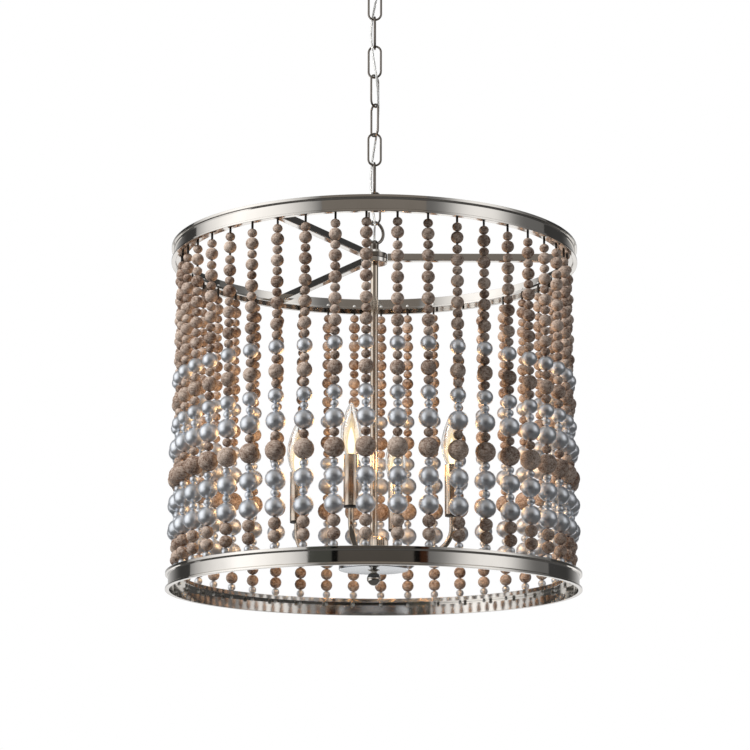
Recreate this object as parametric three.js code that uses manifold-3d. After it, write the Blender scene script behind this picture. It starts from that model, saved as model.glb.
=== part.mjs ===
// Beaded chandelier: a drum of 42 bead strands hung between two flanged rings, with four candle
// lights inside it, on a chain under a ceiling canopy.
// Millimetres, +Z up. The origin is the middle of the canopy's ceiling plane, so all of it is below zero.
// The front is -Y and azimuths run from the front towards +X.
import * as THREE from 'three';
import { mergeVertices } from 'three/addons/utils/BufferGeometryUtils.js';
import Module from 'manifold-3d';

const wasm = await Module();
wasm.setup();

// Seats and overlaps between pieces
const SEAT = 0.3;
const BITE = 1;

// Beads, by diameter
const SMALL_WOOD = 13;
const MEDIUM_WOOD = 18;
const MIDDLE_WOOD = 22;
const LARGE_WOOD = 29;
const MIDDLE_SILVER = 21.5;
const LARGE_SILVER = 27.5;
const SPACER = 11.5;
const BEAD_NEST = 0.4;
const WIRE = 2;
const WIRE_SHOWN = 4.6;

// Rings
const RING_RADIUS = 300;
const RING_HEIGHT = 24;
const FLANGE_THICKNESS = 3;
const FLANGE_REACH = 4.2;
const WEB_THICKNESS = 2;
const LEDGE_DEPTH = 18;
const STRAND_INSET = 15;
const STRANDS = 42;
const STRANDS_A_SET = 3;
const STRAND_TURN = -2.2;

// Hub and spokes
const HUB_RADIUS = 19;
const HUB_HEIGHT = 15;
const SPOKES = 3;
const SPOKE_SIDE = 11;
const SPOKE_BELOW_RING_TOP = 4;

// Chain and its two loops
const LINKS = 8;
const LINK_LENGTH = 52.8;
const LINK_WIDTH = 22;
const LINK_WIRE = 3.2;
const LOOP_RADIUS = 17.5;
const LOOP_WIRE = 3.5;
const LOOP_BOSS_RADIUS = 6.5;
const LOOP_BOSS_RISE = 1.5;
const LOOP_STEM_RADIUS = 4.8;
const LOOP_SHOULDER = 9;
// Each link is turned against the one above it, from 65 to 90 degrees, as a slack chain hangs
const CANOPY_LOOP_TURN = -90;
const LINK_TURNS = [0, 88, 170, 236, 302, 368, 446, 512];
const HANGING_LOOP_TURN = 577;

// Supply cord
const CORD = 3.2;
const CORD_OFFSET = 5.6;
const DIAMETERS_A_CORD_STEP = 3;

// Canopy, its collar and the crossbar
const CANOPY_RADIUS = 62;
const CANOPY_DEPTH = 24;
const CANOPY_WALL = 1.5;
const COLLAR_RADIUS = 13;
const COLLAR_HEIGHT = 5;
const CROSSBAR_LENGTH = 92;
const CROSSBAR_WIDTH = 18;
const CROSSBAR_THICKNESS = 2.5;
const CROSSBAR_SLOT_LENGTH = 20;
const CROSSBAR_SLOT_WIDTH = 5;
const CROSSBAR_SLOT_AT = 33;

// Nut under the hanging loop
const NUT_RADIUS = 9;
const NUT_HEIGHT = 6;

// Rod, arm body, dish and finial
const ROD_RADIUS = 4.9;
const ROD_BORE_RADIUS = 3.4;
const ROD_IN_HUB = 9;
const ROD_IN_BODY = 10;
const BODY_RADIUS = 21;
const BODY_HEIGHT = 33;
const BODY_WAIST = 2.5;
const BODY_RIM = 5;
const DISH_RADIUS = 50.5;
const DISH_HEIGHT = 14;
const DISH_WALL = 1.6;
const DISH_ABOVE_RING_BOTTOM = 32;
const FINIAL_BALL_RADIUS = 8.4;
const FINIAL_NECK_RADIUS = 3.6;
const FINIAL_FLARE_RADIUS = 7.2;
const FINIAL_NECK_LENGTH = 3;

// Arms, candles and bulbs
const LIGHTS = 4;
const LIGHT_TURN = -16;
const LIGHT_CIRCLE = 117;
const ARM_RADIUS = 4;
const ARM_BEND_RADIUS = 38.5;
const ARM_ABOVE_BODY_FOOT = 6;
const ARM_RISE_HEIGHT = 53;
const SOCKET_RADIUS = 8;
const SOCKET_BORE_RADIUS = 6.4;
const SOCKET_BORE_DEPTH = 23;
const SOCKET_FLANGE_RADIUS = 10.3;
const SOCKET_FLANGE = 2;
const SOCKET_BELOW_SLEEVE_TOP = 2;
const SLEEVE_RADIUS = 10.6;
const SLEEVE_WALL = 1;
const SLEEVE_LENGTH = 73;
const BULB_BASE_RADIUS = 6.1;
const BULB_RADIUS = 15;
const BULB_GLASS_LENGTH = 78;

// Facets
const RING_SIDES = STRANDS;
const TURNED_SIDES = 20;
const HUB_SIDES = 18;
const SMALL_SIDES = 10;
const CANDLE_SIDES = 8;
const WIRE_SIDES = 6;
const BOW_STEPS = 4;
const BALL_STEPS = 4;
const LINK_STEPS = 6;
const LOOP_STEPS = 12;
const STRAND_SIDES = 3;
const CORD_SIDES = 8;
const NUT_SIDES = 6;

const turn = (degrees) => THREE.MathUtils.degToRad(degrees);

// Materials
const nickel = new THREE.MeshStandardMaterial({ color: 0xb9b4ac, roughness: 0.14, metalness: 1 });
const beads = new THREE.MeshStandardMaterial({ color: 0x8b7b6f, roughness: 0.8, metalness: 0 });
const plastic = new THREE.MeshStandardMaterial({ color: 0x2a2826, roughness: 0.5, metalness: 0 });
const clear = new THREE.MeshStandardMaterial({ color: 0xd9dcda, roughness: 0.2, metalness: 0 });
const glass = new THREE.MeshStandardMaterial({ color: 0xf6e3bd, roughness: 0.05, metalness: 0 });
const steel = new THREE.MeshStandardMaterial({ color: 0x9a9c9e, roughness: 0.4, metalness: 1 });

const chandelier = new THREE.Group();

function add(name, geometry, material, parent = chandelier) {
  const mesh = new THREE.Mesh(geometry, material);
  mesh.name = name;
  parent.add(mesh);
  return mesh;
}

// A geometry as a solid that can be joined and cut, and back
function solid(geometry) {
  const bare = geometry.index ? geometry.clone() : mergeVertices(geometry);
  bare.deleteAttribute('normal');
  bare.deleteAttribute('uv');
  const merged = mergeVertices(bare);
  return new wasm.Manifold(new wasm.Mesh({
    numProp: 3,
    vertProperties: new Float32Array(merged.attributes.position.array),
    triVerts: new Uint32Array(merged.index.array),
  }));
}

function shape(body) {
  const mesh = body.getMesh();
  const geometry = new THREE.BufferGeometry();
  geometry.setAttribute('position', new THREE.Float32BufferAttribute(mesh.vertProperties, 3));
  geometry.setIndex(new THREE.Uint32BufferAttribute(mesh.triVerts, 1));
  return geometry;
}

// A piece turned on the Z axis from [radius, z] points that run up its outside and down its inside
function turned(profile, sides, start = 0) {
  const points = profile.map(([radius, z]) => new THREE.Vector2(radius, z));
  const geometry = new THREE.LatheGeometry(points, sides, start);
  geometry.rotateX(Math.PI / 2);
  return geometry;
}

// A bored round piece
function tube(outer, inner, bottom, top, sides, start = 0) {
  const wall = [[inner, bottom], [outer, bottom], [outer, top], [inner, top], [inner, bottom]];
  return turned(wall, sides, start);
}

// The corner radius of a faceted bore that clears a round of the given radius
function bore(radius, sides) {
  return (radius + SEAT) / Math.cos(Math.PI / sides);
}

// Rings of points joined into one skin, closed on itself or capped at both ends.
// Each ring lists its points anticlockwise, seen against the way that the rings run.
function skin(rings, closed) {
  const sides = rings[0].length;
  const positions = rings.flat().flatMap((point) => [point.x, point.y, point.z]);
  const faces = [];
  const bands = closed ? rings.length : rings.length - 1;
  for (let i = 0; i < bands; i += 1) {
    const near = i * sides;
    const far = ((i + 1) % rings.length) * sides;
    for (let j = 0; j < sides; j += 1) {
      const next = (j + 1) % sides;
      faces.push(near + j, near + next, far + j);
      faces.push(near + next, far + next, far + j);
    }
  }
  if (!closed) {
    const last = (rings.length - 1) * sides;
    for (let j = 1; j < sides - 1; j += 1) {
      faces.push(0, j + 1, j);
      faces.push(last, last + j, last + j + 1);
    }
  }
  const geometry = new THREE.BufferGeometry();
  geometry.setAttribute('position', new THREE.Float32BufferAttribute(positions, 3));
  geometry.setIndex(faces);
  return geometry;
}

// A round wire along points of the XZ plane, mitred at each corner
function wireAlong(points, radius, sides, closed) {
  const count = points.length;
  const rings = points.map((point, i) => {
    const before = points[closed ? (i - 1 + count) % count : Math.max(i - 1, 0)];
    const after = points[closed ? (i + 1) % count : Math.min(i + 1, count - 1)];
    const into = point.clone().sub(before).normalize();
    const out = after.clone().sub(point).normalize();
    const along = into.clone().add(out).normalize();
    const mitre = 1 / Math.max(along.dot(into), along.dot(out));
    const across = new THREE.Vector2(along.y, -along.x);
    return Array.from({ length: sides }, (_, j) => {
      const angle = (2 * Math.PI * j) / sides;
      const reach = radius * mitre * Math.cos(angle);
      const x = point.x + across.x * reach;
      const z = point.y + across.y * reach;
      return new THREE.Vector3(x, radius * Math.sin(angle), z);
    });
  });
  return skin(rings, closed);
}

// Heights, from the ceiling down
const crossbarBottom = -CROSSBAR_THICKNESS;
const canopyBottom = -CANOPY_DEPTH;
const collarTop = canopyBottom - SEAT;
const collarBottom = collarTop - COLLAR_HEIGHT;
const canopyShoulderTop = collarBottom - SEAT;
const canopyLoopCentre = canopyShoulderTop - LOOP_SHOULDER - LOOP_RADIUS;
const canopyEyeBottom = canopyLoopCentre - LOOP_RADIUS + LOOP_WIRE;
const linkTops = [canopyEyeBottom + SEAT + LINK_WIRE];
while (linkTops.length < LINKS) {
  linkTops.push(linkTops[linkTops.length - 1] - LINK_LENGTH + LINK_WIRE + SEAT + LINK_WIRE);
}
const chainBottom = linkTops[LINKS - 1] - LINK_LENGTH;
const hangingLoopTop = chainBottom + LINK_WIRE + SEAT + LOOP_WIRE;
const hangingLoopCentre = hangingLoopTop - LOOP_RADIUS;
const hangingShoulderBottom = hangingLoopCentre - LOOP_RADIUS - LOOP_SHOULDER;
const nutTop = hangingShoulderBottom - SEAT;
const nutBottom = nutTop - NUT_HEIGHT;
const hubTop = nutBottom - SEAT;
const hubBottom = hubTop - HUB_HEIGHT;
const drumTop = hubTop + SPOKE_BELOW_RING_TOP;

// The beads on one wire, from the top
const BEADS = [
  SMALL_WOOD, MEDIUM_WOOD, SMALL_WOOD, MEDIUM_WOOD, SMALL_WOOD, MEDIUM_WOOD, SMALL_WOOD, MEDIUM_WOOD,
  SMALL_WOOD, MEDIUM_WOOD, SMALL_WOOD, MIDDLE_SILVER, SMALL_WOOD, MIDDLE_WOOD, SMALL_WOOD,
  MIDDLE_SILVER, SPACER, LARGE_SILVER, SMALL_WOOD, LARGE_WOOD, SPACER, LARGE_SILVER, SPACER,
  LARGE_SILVER, MEDIUM_WOOD, MEDIUM_WOOD, SPACER,
];
const beadStack = BEADS.reduce((sum, bead) => sum + bead - BEAD_NEST, BEAD_NEST);
const ledgeTop = drumTop - RING_HEIGHT + FLANGE_THICKNESS;
const ledgeBottom = drumTop - RING_HEIGHT;
const stackTop = ledgeBottom - WIRE_SHOWN;
const stackBottom = stackTop - beadStack;
const lowerRingTop = stackBottom - SEAT;
const lowerRingBottom = lowerRingTop - RING_HEIGHT;

// Rings: a band with a flange at top and bottom. The lower one has its ledge at the top.
const webOuter = RING_RADIUS - FLANGE_REACH;
const webInner = webOuter - WEB_THICKNESS;
const ledgeInner = webInner - LEDGE_DEPTH;
const strandCircle = RING_RADIUS - STRAND_INSET;
const strandPitch = 360 / STRANDS;

const drum = new THREE.Group();
drum.rotation.z = turn(STRAND_TURN);
chandelier.add(drum);

function ringProfile(bottom, top, topInner) {
  const outside = [
    [webInner, bottom], [RING_RADIUS, bottom], [RING_RADIUS, bottom + FLANGE_THICKNESS],
    [webOuter, bottom + FLANGE_THICKNESS], [webOuter, top - FLANGE_THICKNESS],
    [RING_RADIUS, top - FLANGE_THICKNESS], [RING_RADIUS, top], [topInner, top],
  ];
  const ledge = [[topInner, top - FLANGE_THICKNESS], [webInner, top - FLANGE_THICKNESS]];
  const inside = topInner < webInner ? ledge : [];
  return [...outside, ...inside, outside[0]];
}

const firstCorner = turn(strandPitch / 2);
const upperProfile = ringProfile(ledgeBottom, drumTop, webInner);
add('upper_ring', turned(upperProfile, RING_SIDES, firstCorner), nickel, drum);
const lowerProfile = ringProfile(lowerRingBottom, lowerRingTop, ledgeInner);
add('lower_ring', turned(lowerProfile, RING_SIDES, firstCorner), nickel, drum);

// One strand: the wire from inside the ledge, then a ring of corners at each bead's middle, turned half
// a step against the last, with the smaller beads as the waists between the larger. Two larger beads
// that meet have a neck.
const CORNER_SHARE = 1.18;
const NECK_SHARE = 0.55;

function strand() {
  const stations = [[ledgeBottom + FLANGE_THICKNESS - BITE, WIRE / 2], [stackTop, WIRE / 2]];
  let top = stackTop;
  let above = null;
  BEADS.forEach((bead) => {
    if (above >= MEDIUM_WOOD && bead >= MEDIUM_WOOD) {
      stations.push([top, (Math.min(above, bead) / 2) * NECK_SHARE]);
    }
    stations.push([top - bead / 2, (bead / 2) * CORNER_SHARE]);
    top -= bead - BEAD_NEST;
    above = bead;
  });
  stations.push([stackBottom, WIRE]);
  const rings = stations.reverse().map(([z, radius], i) => Array.from({ length: STRAND_SIDES }, (_, j) => {
    const angle = (2 * Math.PI * (j + (i % 2) / 2)) / STRAND_SIDES;
    return new THREE.Vector3(radius * Math.cos(angle), radius * Math.sin(angle), z);
  }));
  return skin(rings, false);
}

// One stretch of the upper ring's drilled ledge, with the strands that are crimped in its holes
function strandSet() {
  const half = STRANDS_A_SET / 2;
  const corner = (radius, step) => {
    const slack = Math.sign(step) * (Math.abs(step) === half ? SEAT / 2 / radius : 0);
    const angle = turn(step * strandPitch) - slack;
    return new THREE.Vector2(radius * Math.sin(angle), -radius * Math.cos(angle));
  };
  const steps = Array.from({ length: STRANDS_A_SET + 1 }, (_, i) => i - half);
  const outer = steps.map((step) => corner(webInner - SEAT, step));
  const inner = steps.map((step) => corner(ledgeInner, step)).reverse();
  const plate = new THREE.Shape([...outer, ...inner]);
  const ledge = new THREE.ExtrudeGeometry(plate, { depth: FLANGE_THICKNESS, bevelEnabled: false });
  ledge.translate(0, 0, ledgeBottom);
  let body = solid(ledge);
  const one = strand();
  for (let i = 0; i < STRANDS_A_SET; i += 1) {
    const hung = one.clone();
    hung.translate(0, -strandCircle, 0);
    hung.rotateZ(turn((i - (STRANDS_A_SET - 1) / 2) * strandPitch));
    body = body.add(solid(hung));
  }
  return shape(body);
}

const sets = STRANDS / STRANDS_A_SET;
const oneSet = strandSet();
for (let i = 0; i < sets; i += 1) {
  const set = add(`strand_set_${String(i + 1).padStart(2, '0')}`, oneSet, beads, drum);
  set.rotation.z = turn(i * STRANDS_A_SET * strandPitch);
}

// Hub, bored for the rod and the loop's stem
const hubBore = bore(Math.max(ROD_RADIUS, LOOP_STEM_RADIUS), HUB_SIDES);
add('hub', tube(HUB_RADIUS, hubBore, hubBottom, hubTop, HUB_SIDES), nickel);

// Spokes from the hub's side to the inside of the upper ring's web
const ringFlat = webInner * Math.cos(Math.PI / RING_SIDES);
const spokeInner = HUB_RADIUS + SEAT;
const spokeOuter = ringFlat - SEAT;
for (let i = 0; i < SPOKES; i += 1) {
  const bar = new THREE.BoxGeometry(spokeOuter - spokeInner, SPOKE_SIDE, SPOKE_SIDE);
  bar.translate((spokeInner + spokeOuter) / 2, 0, hubTop - SPOKE_SIDE / 2);
  const spoke = add(`spoke_${i + 1}`, bar, nickel);
  spoke.rotation.z = turn((360 / SPOKES) * i);
}

// Chain: each link is a bent wire with half-round bows, hooked over the bow of the one above it
function linkPath() {
  const bow = (LINK_WIDTH - LINK_WIRE) / 2;
  const reach = (LINK_LENGTH - LINK_WIRE) / 2 - bow;
  const points = [];
  for (const end of [1, -1]) {
    for (let i = 0; i <= LINK_STEPS; i += 1) {
      const angle = (Math.PI * i) / LINK_STEPS;
      points.push(new THREE.Vector2(end * bow * Math.cos(angle), end * (reach + bow * Math.sin(angle))));
    }
  }
  return points;
}

const link = wireAlong(linkPath(), LINK_WIRE / 2, WIRE_SIDES, true);
for (let i = 0; i < LINKS; i += 1) {
  const hung = add(`chain_link_${i + 1}`, link, nickel);
  hung.position.z = linkTops[i] - LINK_LENGTH / 2;
  hung.rotation.z = turn(LINK_TURNS[i % LINK_TURNS.length]);
}

// Loops: a round eye, with a shoulder whose flat boss stands inside the eye, on a stem
function eyeLoop(stemLength) {
  const circle = Array.from({ length: LOOP_STEPS }, (_, i) => {
    const angle = (2 * Math.PI * i) / LOOP_STEPS;
    return new THREE.Vector2(Math.cos(angle), Math.sin(angle)).multiplyScalar(LOOP_RADIUS - LOOP_WIRE / 2);
  });
  const eye = solid(wireAlong(circle, LOOP_WIRE / 2, WIRE_SIDES, true));
  const boss = -LOOP_RADIUS + LOOP_WIRE + LOOP_BOSS_RISE;
  const shoulder = -LOOP_RADIUS - LOOP_SHOULDER;
  const post = turned([
    [0, shoulder - stemLength], [LOOP_STEM_RADIUS, shoulder - stemLength], [LOOP_STEM_RADIUS, shoulder],
    [LOOP_BOSS_RADIUS, shoulder], [LOOP_BOSS_RADIUS, -LOOP_RADIUS], [LOOP_STEM_RADIUS, boss], [0, boss],
  ], SMALL_SIDES);
  return shape(eye.add(solid(post)));
}

const hangingStem = SEAT + NUT_HEIGHT + SEAT + HUB_HEIGHT - ROD_IN_HUB - SEAT;
const hangingLoop = add('hanging_loop', eyeLoop(hangingStem), nickel);
hangingLoop.position.z = hangingLoopCentre;
hangingLoop.rotation.z = turn(HANGING_LOOP_TURN);
const nut = tube(NUT_RADIUS, bore(LOOP_STEM_RADIUS, NUT_SIDES), nutBottom, nutTop, NUT_SIDES);
add('loop_nut', nut, nickel);

const canopyStemLength = crossbarBottom - SEAT - canopyShoulderTop;
const canopyLoop = add('canopy_loop', eyeLoop(canopyStemLength), nickel);
canopyLoop.position.z = canopyLoopCentre;
canopyLoop.rotation.set(Math.PI, 0, turn(CANOPY_LOOP_TURN));

// Canopy, a shallow spun cover, with its collar below it and the crossbar inside it
const CANOPY_SHARES = [[1, 0], [1, 0.14], [0.94, 0.5], [0.72, 0.86], [0.36, 1]];
const canopyHole = bore(LOOP_STEM_RADIUS, SMALL_SIDES);
const canopyOutside = CANOPY_SHARES.map(([across, down]) => [CANOPY_RADIUS * across, -CANOPY_DEPTH * down]);
const canopyInside = canopyOutside.map(([radius, z]) => [radius - CANOPY_WALL, Math.min(z + CANOPY_WALL, 0)]);
const canopyProfile = [
  [canopyHole, canopyBottom], ...canopyOutside.slice().reverse(), ...canopyInside,
  [canopyHole, canopyBottom + CANOPY_WALL], [canopyHole, canopyBottom],
];
add('canopy', turned(canopyProfile, TURNED_SIDES), nickel);
add('canopy_collar', tube(COLLAR_RADIUS, canopyHole, collarBottom, collarTop, SMALL_SIDES), nickel);

const bar = new THREE.BoxGeometry(CROSSBAR_LENGTH, CROSSBAR_WIDTH, CROSSBAR_THICKNESS);
bar.translate(0, 0, crossbarBottom / 2);
let crossbar = solid(bar);
for (const side of [-1, 1]) {
  const slotRadius = CROSSBAR_SLOT_WIDTH / 2;
  const slotReach = CROSSBAR_SLOT_LENGTH / 2 - slotRadius;
  const outline = new THREE.Shape();
  outline.absarc(slotReach, 0, slotRadius, -Math.PI / 2, Math.PI / 2);
  outline.absarc(-slotReach, 0, slotRadius, Math.PI / 2, Math.PI * 1.5);
  const slot = new THREE.ExtrudeGeometry(outline, {
    depth: CROSSBAR_THICKNESS + 2 * BITE, bevelEnabled: false, curveSegments: BOW_STEPS,
  });
  slot.translate(side * CROSSBAR_SLOT_AT, 0, crossbarBottom - BITE);
  crossbar = crossbar.subtract(solid(slot));
}
add('ceiling_crossbar', shape(crossbar), steel);

// Supply cord: down through both eyes, and round the chain in the wider angle between each pair of links
const eyeBoss = LOOP_RADIUS - LOOP_WIRE - LOOP_BOSS_RISE;
const cordTop = canopyLoopCentre + eyeBoss - SEAT;
const cordBottom = hangingLoopCentre - eyeBoss + SEAT;
const turns = [CANOPY_LOOP_TURN, ...linkTops.map((_, i) => LINK_TURNS[i % LINK_TURNS.length]), HANGING_LOOP_TURN];
const hooks = [canopyEyeBottom + SEAT / 2, ...linkTops.slice(1).map((top) => top - LINK_WIRE - SEAT / 2),
  hangingLoopTop - LOOP_WIRE - SEAT / 2];

function cordAngle(z) {
  const angles = hooks.map((_, i) => (turns[i] + turns[i + 1]) / 2 + 90);
  const at = hooks.findIndex((hook) => z >= hook);
  if (at === 0) {
    return angles[0];
  }
  if (at < 0) {
    return angles[angles.length - 1];
  }
  const along = (hooks[at - 1] - z) / (hooks[at - 1] - hooks[at]);
  return THREE.MathUtils.lerp(angles[at - 1], angles[at], along);
}

class CordPath extends THREE.Curve {
  getPoint(t, target = new THREE.Vector3()) {
    const z = THREE.MathUtils.lerp(cordTop, cordBottom, t);
    const start = THREE.MathUtils.smoothstep(cordTop - z, CORD, cordTop - hooks[0]);
    const end = THREE.MathUtils.smoothstep(z - cordBottom, CORD, hooks[hooks.length - 1] - cordBottom);
    const radius = CORD_OFFSET * Math.min(start, end);
    const angle = turn(cordAngle(z));
    return target.set(radius * Math.cos(angle), radius * Math.sin(angle), z);
  }
}

const cordSection = new THREE.Shape(Array.from({ length: CORD_SIDES }, (_, i) => {
  const angle = (2 * Math.PI * i) / CORD_SIDES;
  return new THREE.Vector2(Math.cos(angle), Math.sin(angle)).multiplyScalar(CORD / 2);
}));
const cordSteps = Math.round((cordTop - cordBottom) / (DIAMETERS_A_CORD_STEP * CORD));
const cordGeometry = new THREE.ExtrudeGeometry(cordSection, {
  steps: cordSteps, extrudePath: new CordPath(), bevelEnabled: false,
});
add('supply_cord', cordGeometry, clear);

// Rod, arm body, dish and finial
const dishBottom = lowerRingBottom + DISH_ABOVE_RING_BOTTOM;
const dishTop = dishBottom + DISH_HEIGHT;
const bodyBottom = dishTop + SEAT;
const bodyTop = bodyBottom + BODY_HEIGHT;
const rodTop = hubBottom + ROD_IN_HUB;
const rodBottom = bodyTop - ROD_IN_BODY + SEAT;
add('down_rod', tube(ROD_RADIUS, ROD_BORE_RADIUS, rodBottom, rodTop, SMALL_SIDES), nickel);
const bodyBore = bore(ROD_RADIUS, TURNED_SIDES);
add('arm_body', turned([
  [0, bodyBottom], [BODY_RADIUS, bodyBottom], [BODY_RADIUS, bodyTop - BODY_RIM],
  [BODY_RADIUS - BODY_WAIST, bodyTop], [bodyBore, bodyTop], [bodyBore, bodyTop - ROD_IN_BODY],
  [0, bodyTop - ROD_IN_BODY],
], TURNED_SIDES), nickel);
add('dish', turned([
  [0, dishBottom], [DISH_RADIUS, dishBottom], [DISH_RADIUS, dishTop], [DISH_RADIUS - DISH_WALL, dishTop],
  [DISH_RADIUS - DISH_WALL, dishBottom + DISH_WALL], [BODY_RADIUS, dishBottom + DISH_WALL],
  [BODY_RADIUS, dishTop], [0, dishTop],
], TURNED_SIDES), nickel);
const finialTop = dishBottom - SEAT;
const ballCentre = finialTop - FINIAL_NECK_LENGTH - FINIAL_BALL_RADIUS;
const neckAngle = Math.acos(FINIAL_NECK_RADIUS / FINIAL_BALL_RADIUS);
const ball = [[0, ballCentre - FINIAL_BALL_RADIUS]];
for (let i = 1; i <= BALL_STEPS; i += 1) {
  const angle = THREE.MathUtils.lerp(-Math.PI / 2, neckAngle, i / BALL_STEPS);
  ball.push([FINIAL_BALL_RADIUS * Math.cos(angle), ballCentre + FINIAL_BALL_RADIUS * Math.sin(angle)]);
}
add('finial', turned([
  ...ball, [FINIAL_NECK_RADIUS, finialTop - FINIAL_NECK_LENGTH / 2], [FINIAL_FLARE_RADIUS, finialTop],
  [0, finialTop],
], SMALL_SIDES), nickel);

// Lights: an arm out of the body, a socket on its end, a sleeve round the socket and a bulb in it
const armHeight = bodyBottom + ARM_ABOVE_BODY_FOOT;
const armTop = armHeight + ARM_RISE_HEIGHT;
const flangeBottom = armTop + SEAT;
const sleeveBottom = flangeBottom + SOCKET_FLANGE + SEAT;
const sleeveTop = sleeveBottom + SLEEVE_LENGTH;
const socketTop = sleeveTop - SOCKET_BELOW_SLEEVE_TOP;
const boreBottom = socketTop - SOCKET_BORE_DEPTH;
const bulbBottom = boreBottom + SEAT;
const glassBottom = socketTop + SEAT;

function armPath() {
  const bendStart = LIGHT_CIRCLE - ARM_BEND_RADIUS;
  const points = [new THREE.Vector2(BODY_RADIUS + SEAT, armHeight)];
  for (let i = 0; i <= BOW_STEPS; i += 1) {
    const angle = (Math.PI / 2) * (i / BOW_STEPS);
    points.push(new THREE.Vector2(
      bendStart + ARM_BEND_RADIUS * Math.sin(angle),
      armHeight + ARM_BEND_RADIUS * (1 - Math.cos(angle)),
    ));
  }
  points.push(new THREE.Vector2(LIGHT_CIRCLE, armTop));
  return points;
}

const socketProfile = [
  [0, flangeBottom], [SOCKET_FLANGE_RADIUS, flangeBottom],
  [SOCKET_FLANGE_RADIUS, flangeBottom + SOCKET_FLANGE], [SOCKET_RADIUS, flangeBottom + SOCKET_FLANGE],
  [SOCKET_RADIUS, socketTop], [SOCKET_BORE_RADIUS, socketTop], [SOCKET_BORE_RADIUS, boreBottom],
  [0, boreBottom],
];
const BULB_SHARES = [[0.55, 0.04], [0.84, 0.18], [1, 0.36], [0.93, 0.56], [0.6, 0.78], [0.24, 0.94]];
const bulbProfile = [
  [0, bulbBottom], [BULB_BASE_RADIUS, bulbBottom], [BULB_BASE_RADIUS, glassBottom],
  ...BULB_SHARES.map(([across, up]) => [BULB_RADIUS * across, glassBottom + BULB_GLASS_LENGTH * up]),
  [0, glassBottom + BULB_GLASS_LENGTH],
];
const arm = wireAlong(armPath(), ARM_RADIUS, WIRE_SIDES, false);
const sleeve = tube(SLEEVE_RADIUS, SLEEVE_RADIUS - SLEEVE_WALL, sleeveBottom, sleeveTop, SMALL_SIDES);
for (let i = 0; i < LIGHTS; i += 1) {
  const light = new THREE.Group();
  light.rotation.z = turn(LIGHT_TURN + (360 / LIGHTS) * i - 90);
  chandelier.add(light);
  add(`arm_${i + 1}`, arm, nickel, light);
  const candle = new THREE.Group();
  candle.position.x = LIGHT_CIRCLE;
  light.add(candle);
  add(`socket_${i + 1}`, turned(socketProfile, CANDLE_SIDES), plastic, candle);
  add(`candle_sleeve_${i + 1}`, sleeve, nickel, candle);
  add(`bulb_${i + 1}`, turned(bulbProfile, CANDLE_SIDES), glass, candle);
}

export default chandelier;
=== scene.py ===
import math

import bmesh
import bpy
from mathutils import Matrix, Vector


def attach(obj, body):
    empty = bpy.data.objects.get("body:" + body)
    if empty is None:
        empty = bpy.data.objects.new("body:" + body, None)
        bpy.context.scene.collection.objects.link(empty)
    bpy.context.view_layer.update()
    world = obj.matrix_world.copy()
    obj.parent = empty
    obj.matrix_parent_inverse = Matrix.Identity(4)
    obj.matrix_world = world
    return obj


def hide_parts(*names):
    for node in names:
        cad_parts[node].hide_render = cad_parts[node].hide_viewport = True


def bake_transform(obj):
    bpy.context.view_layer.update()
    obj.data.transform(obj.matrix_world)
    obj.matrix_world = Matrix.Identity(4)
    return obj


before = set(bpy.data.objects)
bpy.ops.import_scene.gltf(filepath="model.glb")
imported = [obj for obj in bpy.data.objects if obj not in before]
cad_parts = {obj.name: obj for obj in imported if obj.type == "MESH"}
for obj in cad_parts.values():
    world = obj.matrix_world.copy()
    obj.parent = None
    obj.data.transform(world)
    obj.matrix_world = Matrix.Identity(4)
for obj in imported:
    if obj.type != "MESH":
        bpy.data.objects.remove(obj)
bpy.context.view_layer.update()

# The camera stands well in front of the drum and below it, and looks up at it, as the photograph's
# does. Its place, tilt and lens come from the outlines of the two rings.
PHOTO_SIDE = 750
FOCAL_PIXELS = 2382.15
MIDDLE_PIXEL = 374.13
SENSOR = 36
CAMERA_PLACE = (0, -3.4204, -1.4099)
CAMERA_TILT = math.radians(90 + 12.218)
CAMERA_ROLL = math.radians(0.12)


def placed(name, data):
    """A thing in the scene, made of its mesh, light or lens."""
    thing = bpy.data.objects.new(name, data)
    bpy.context.scene.collection.objects.link(thing)
    return thing


photo_lens = bpy.data.cameras.new("photo_camera")
photo_lens.sensor_fit = "HORIZONTAL"
photo_lens.sensor_width = SENSOR
photo_lens.lens = FOCAL_PIXELS * SENSOR / PHOTO_SIDE
photo_lens.shift_x = (PHOTO_SIDE / 2 - MIDDLE_PIXEL) / PHOTO_SIDE
photo_camera = placed("photo_camera", photo_lens)
photo_camera.matrix_world = (
    Matrix.Translation(CAMERA_PLACE)
    @ Matrix.Rotation(CAMERA_TILT, 4, "X")
    @ Matrix.Rotation(CAMERA_ROLL, 4, "Z")
)
bpy.context.scene.camera = photo_camera
bpy.context.scene.view_settings.view_transform = "Standard"


# The studio: white air, a pale floor far below the drum, one large soft lamp at the upper left and
# a weaker one at the right. The air is white where the camera, metal and glass see it.
class Reading:
    """One output of a node, worked with as a number: each operator adds its Math node."""

    def __init__(self, nodes, socket):
        self.nodes, self.socket = nodes, socket

    def other(self, name):
        return Reading(self.nodes, self.socket.node.outputs[name])

    def math(self, operation, *values):
        return self.nodes.add("ShaderNodeMath", {"operation": operation}, dict(enumerate(values)))

    def __add__(self, other):
        return self.math("ADD", self, other)

    def __sub__(self, other):
        return self.math("SUBTRACT", self, other)

    def __rsub__(self, other):
        return self.math("SUBTRACT", other, self)

    def __mul__(self, other):
        return self.math("MULTIPLY", self, other)

    __radd__ = __add__
    __rmul__ = __mul__


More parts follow.
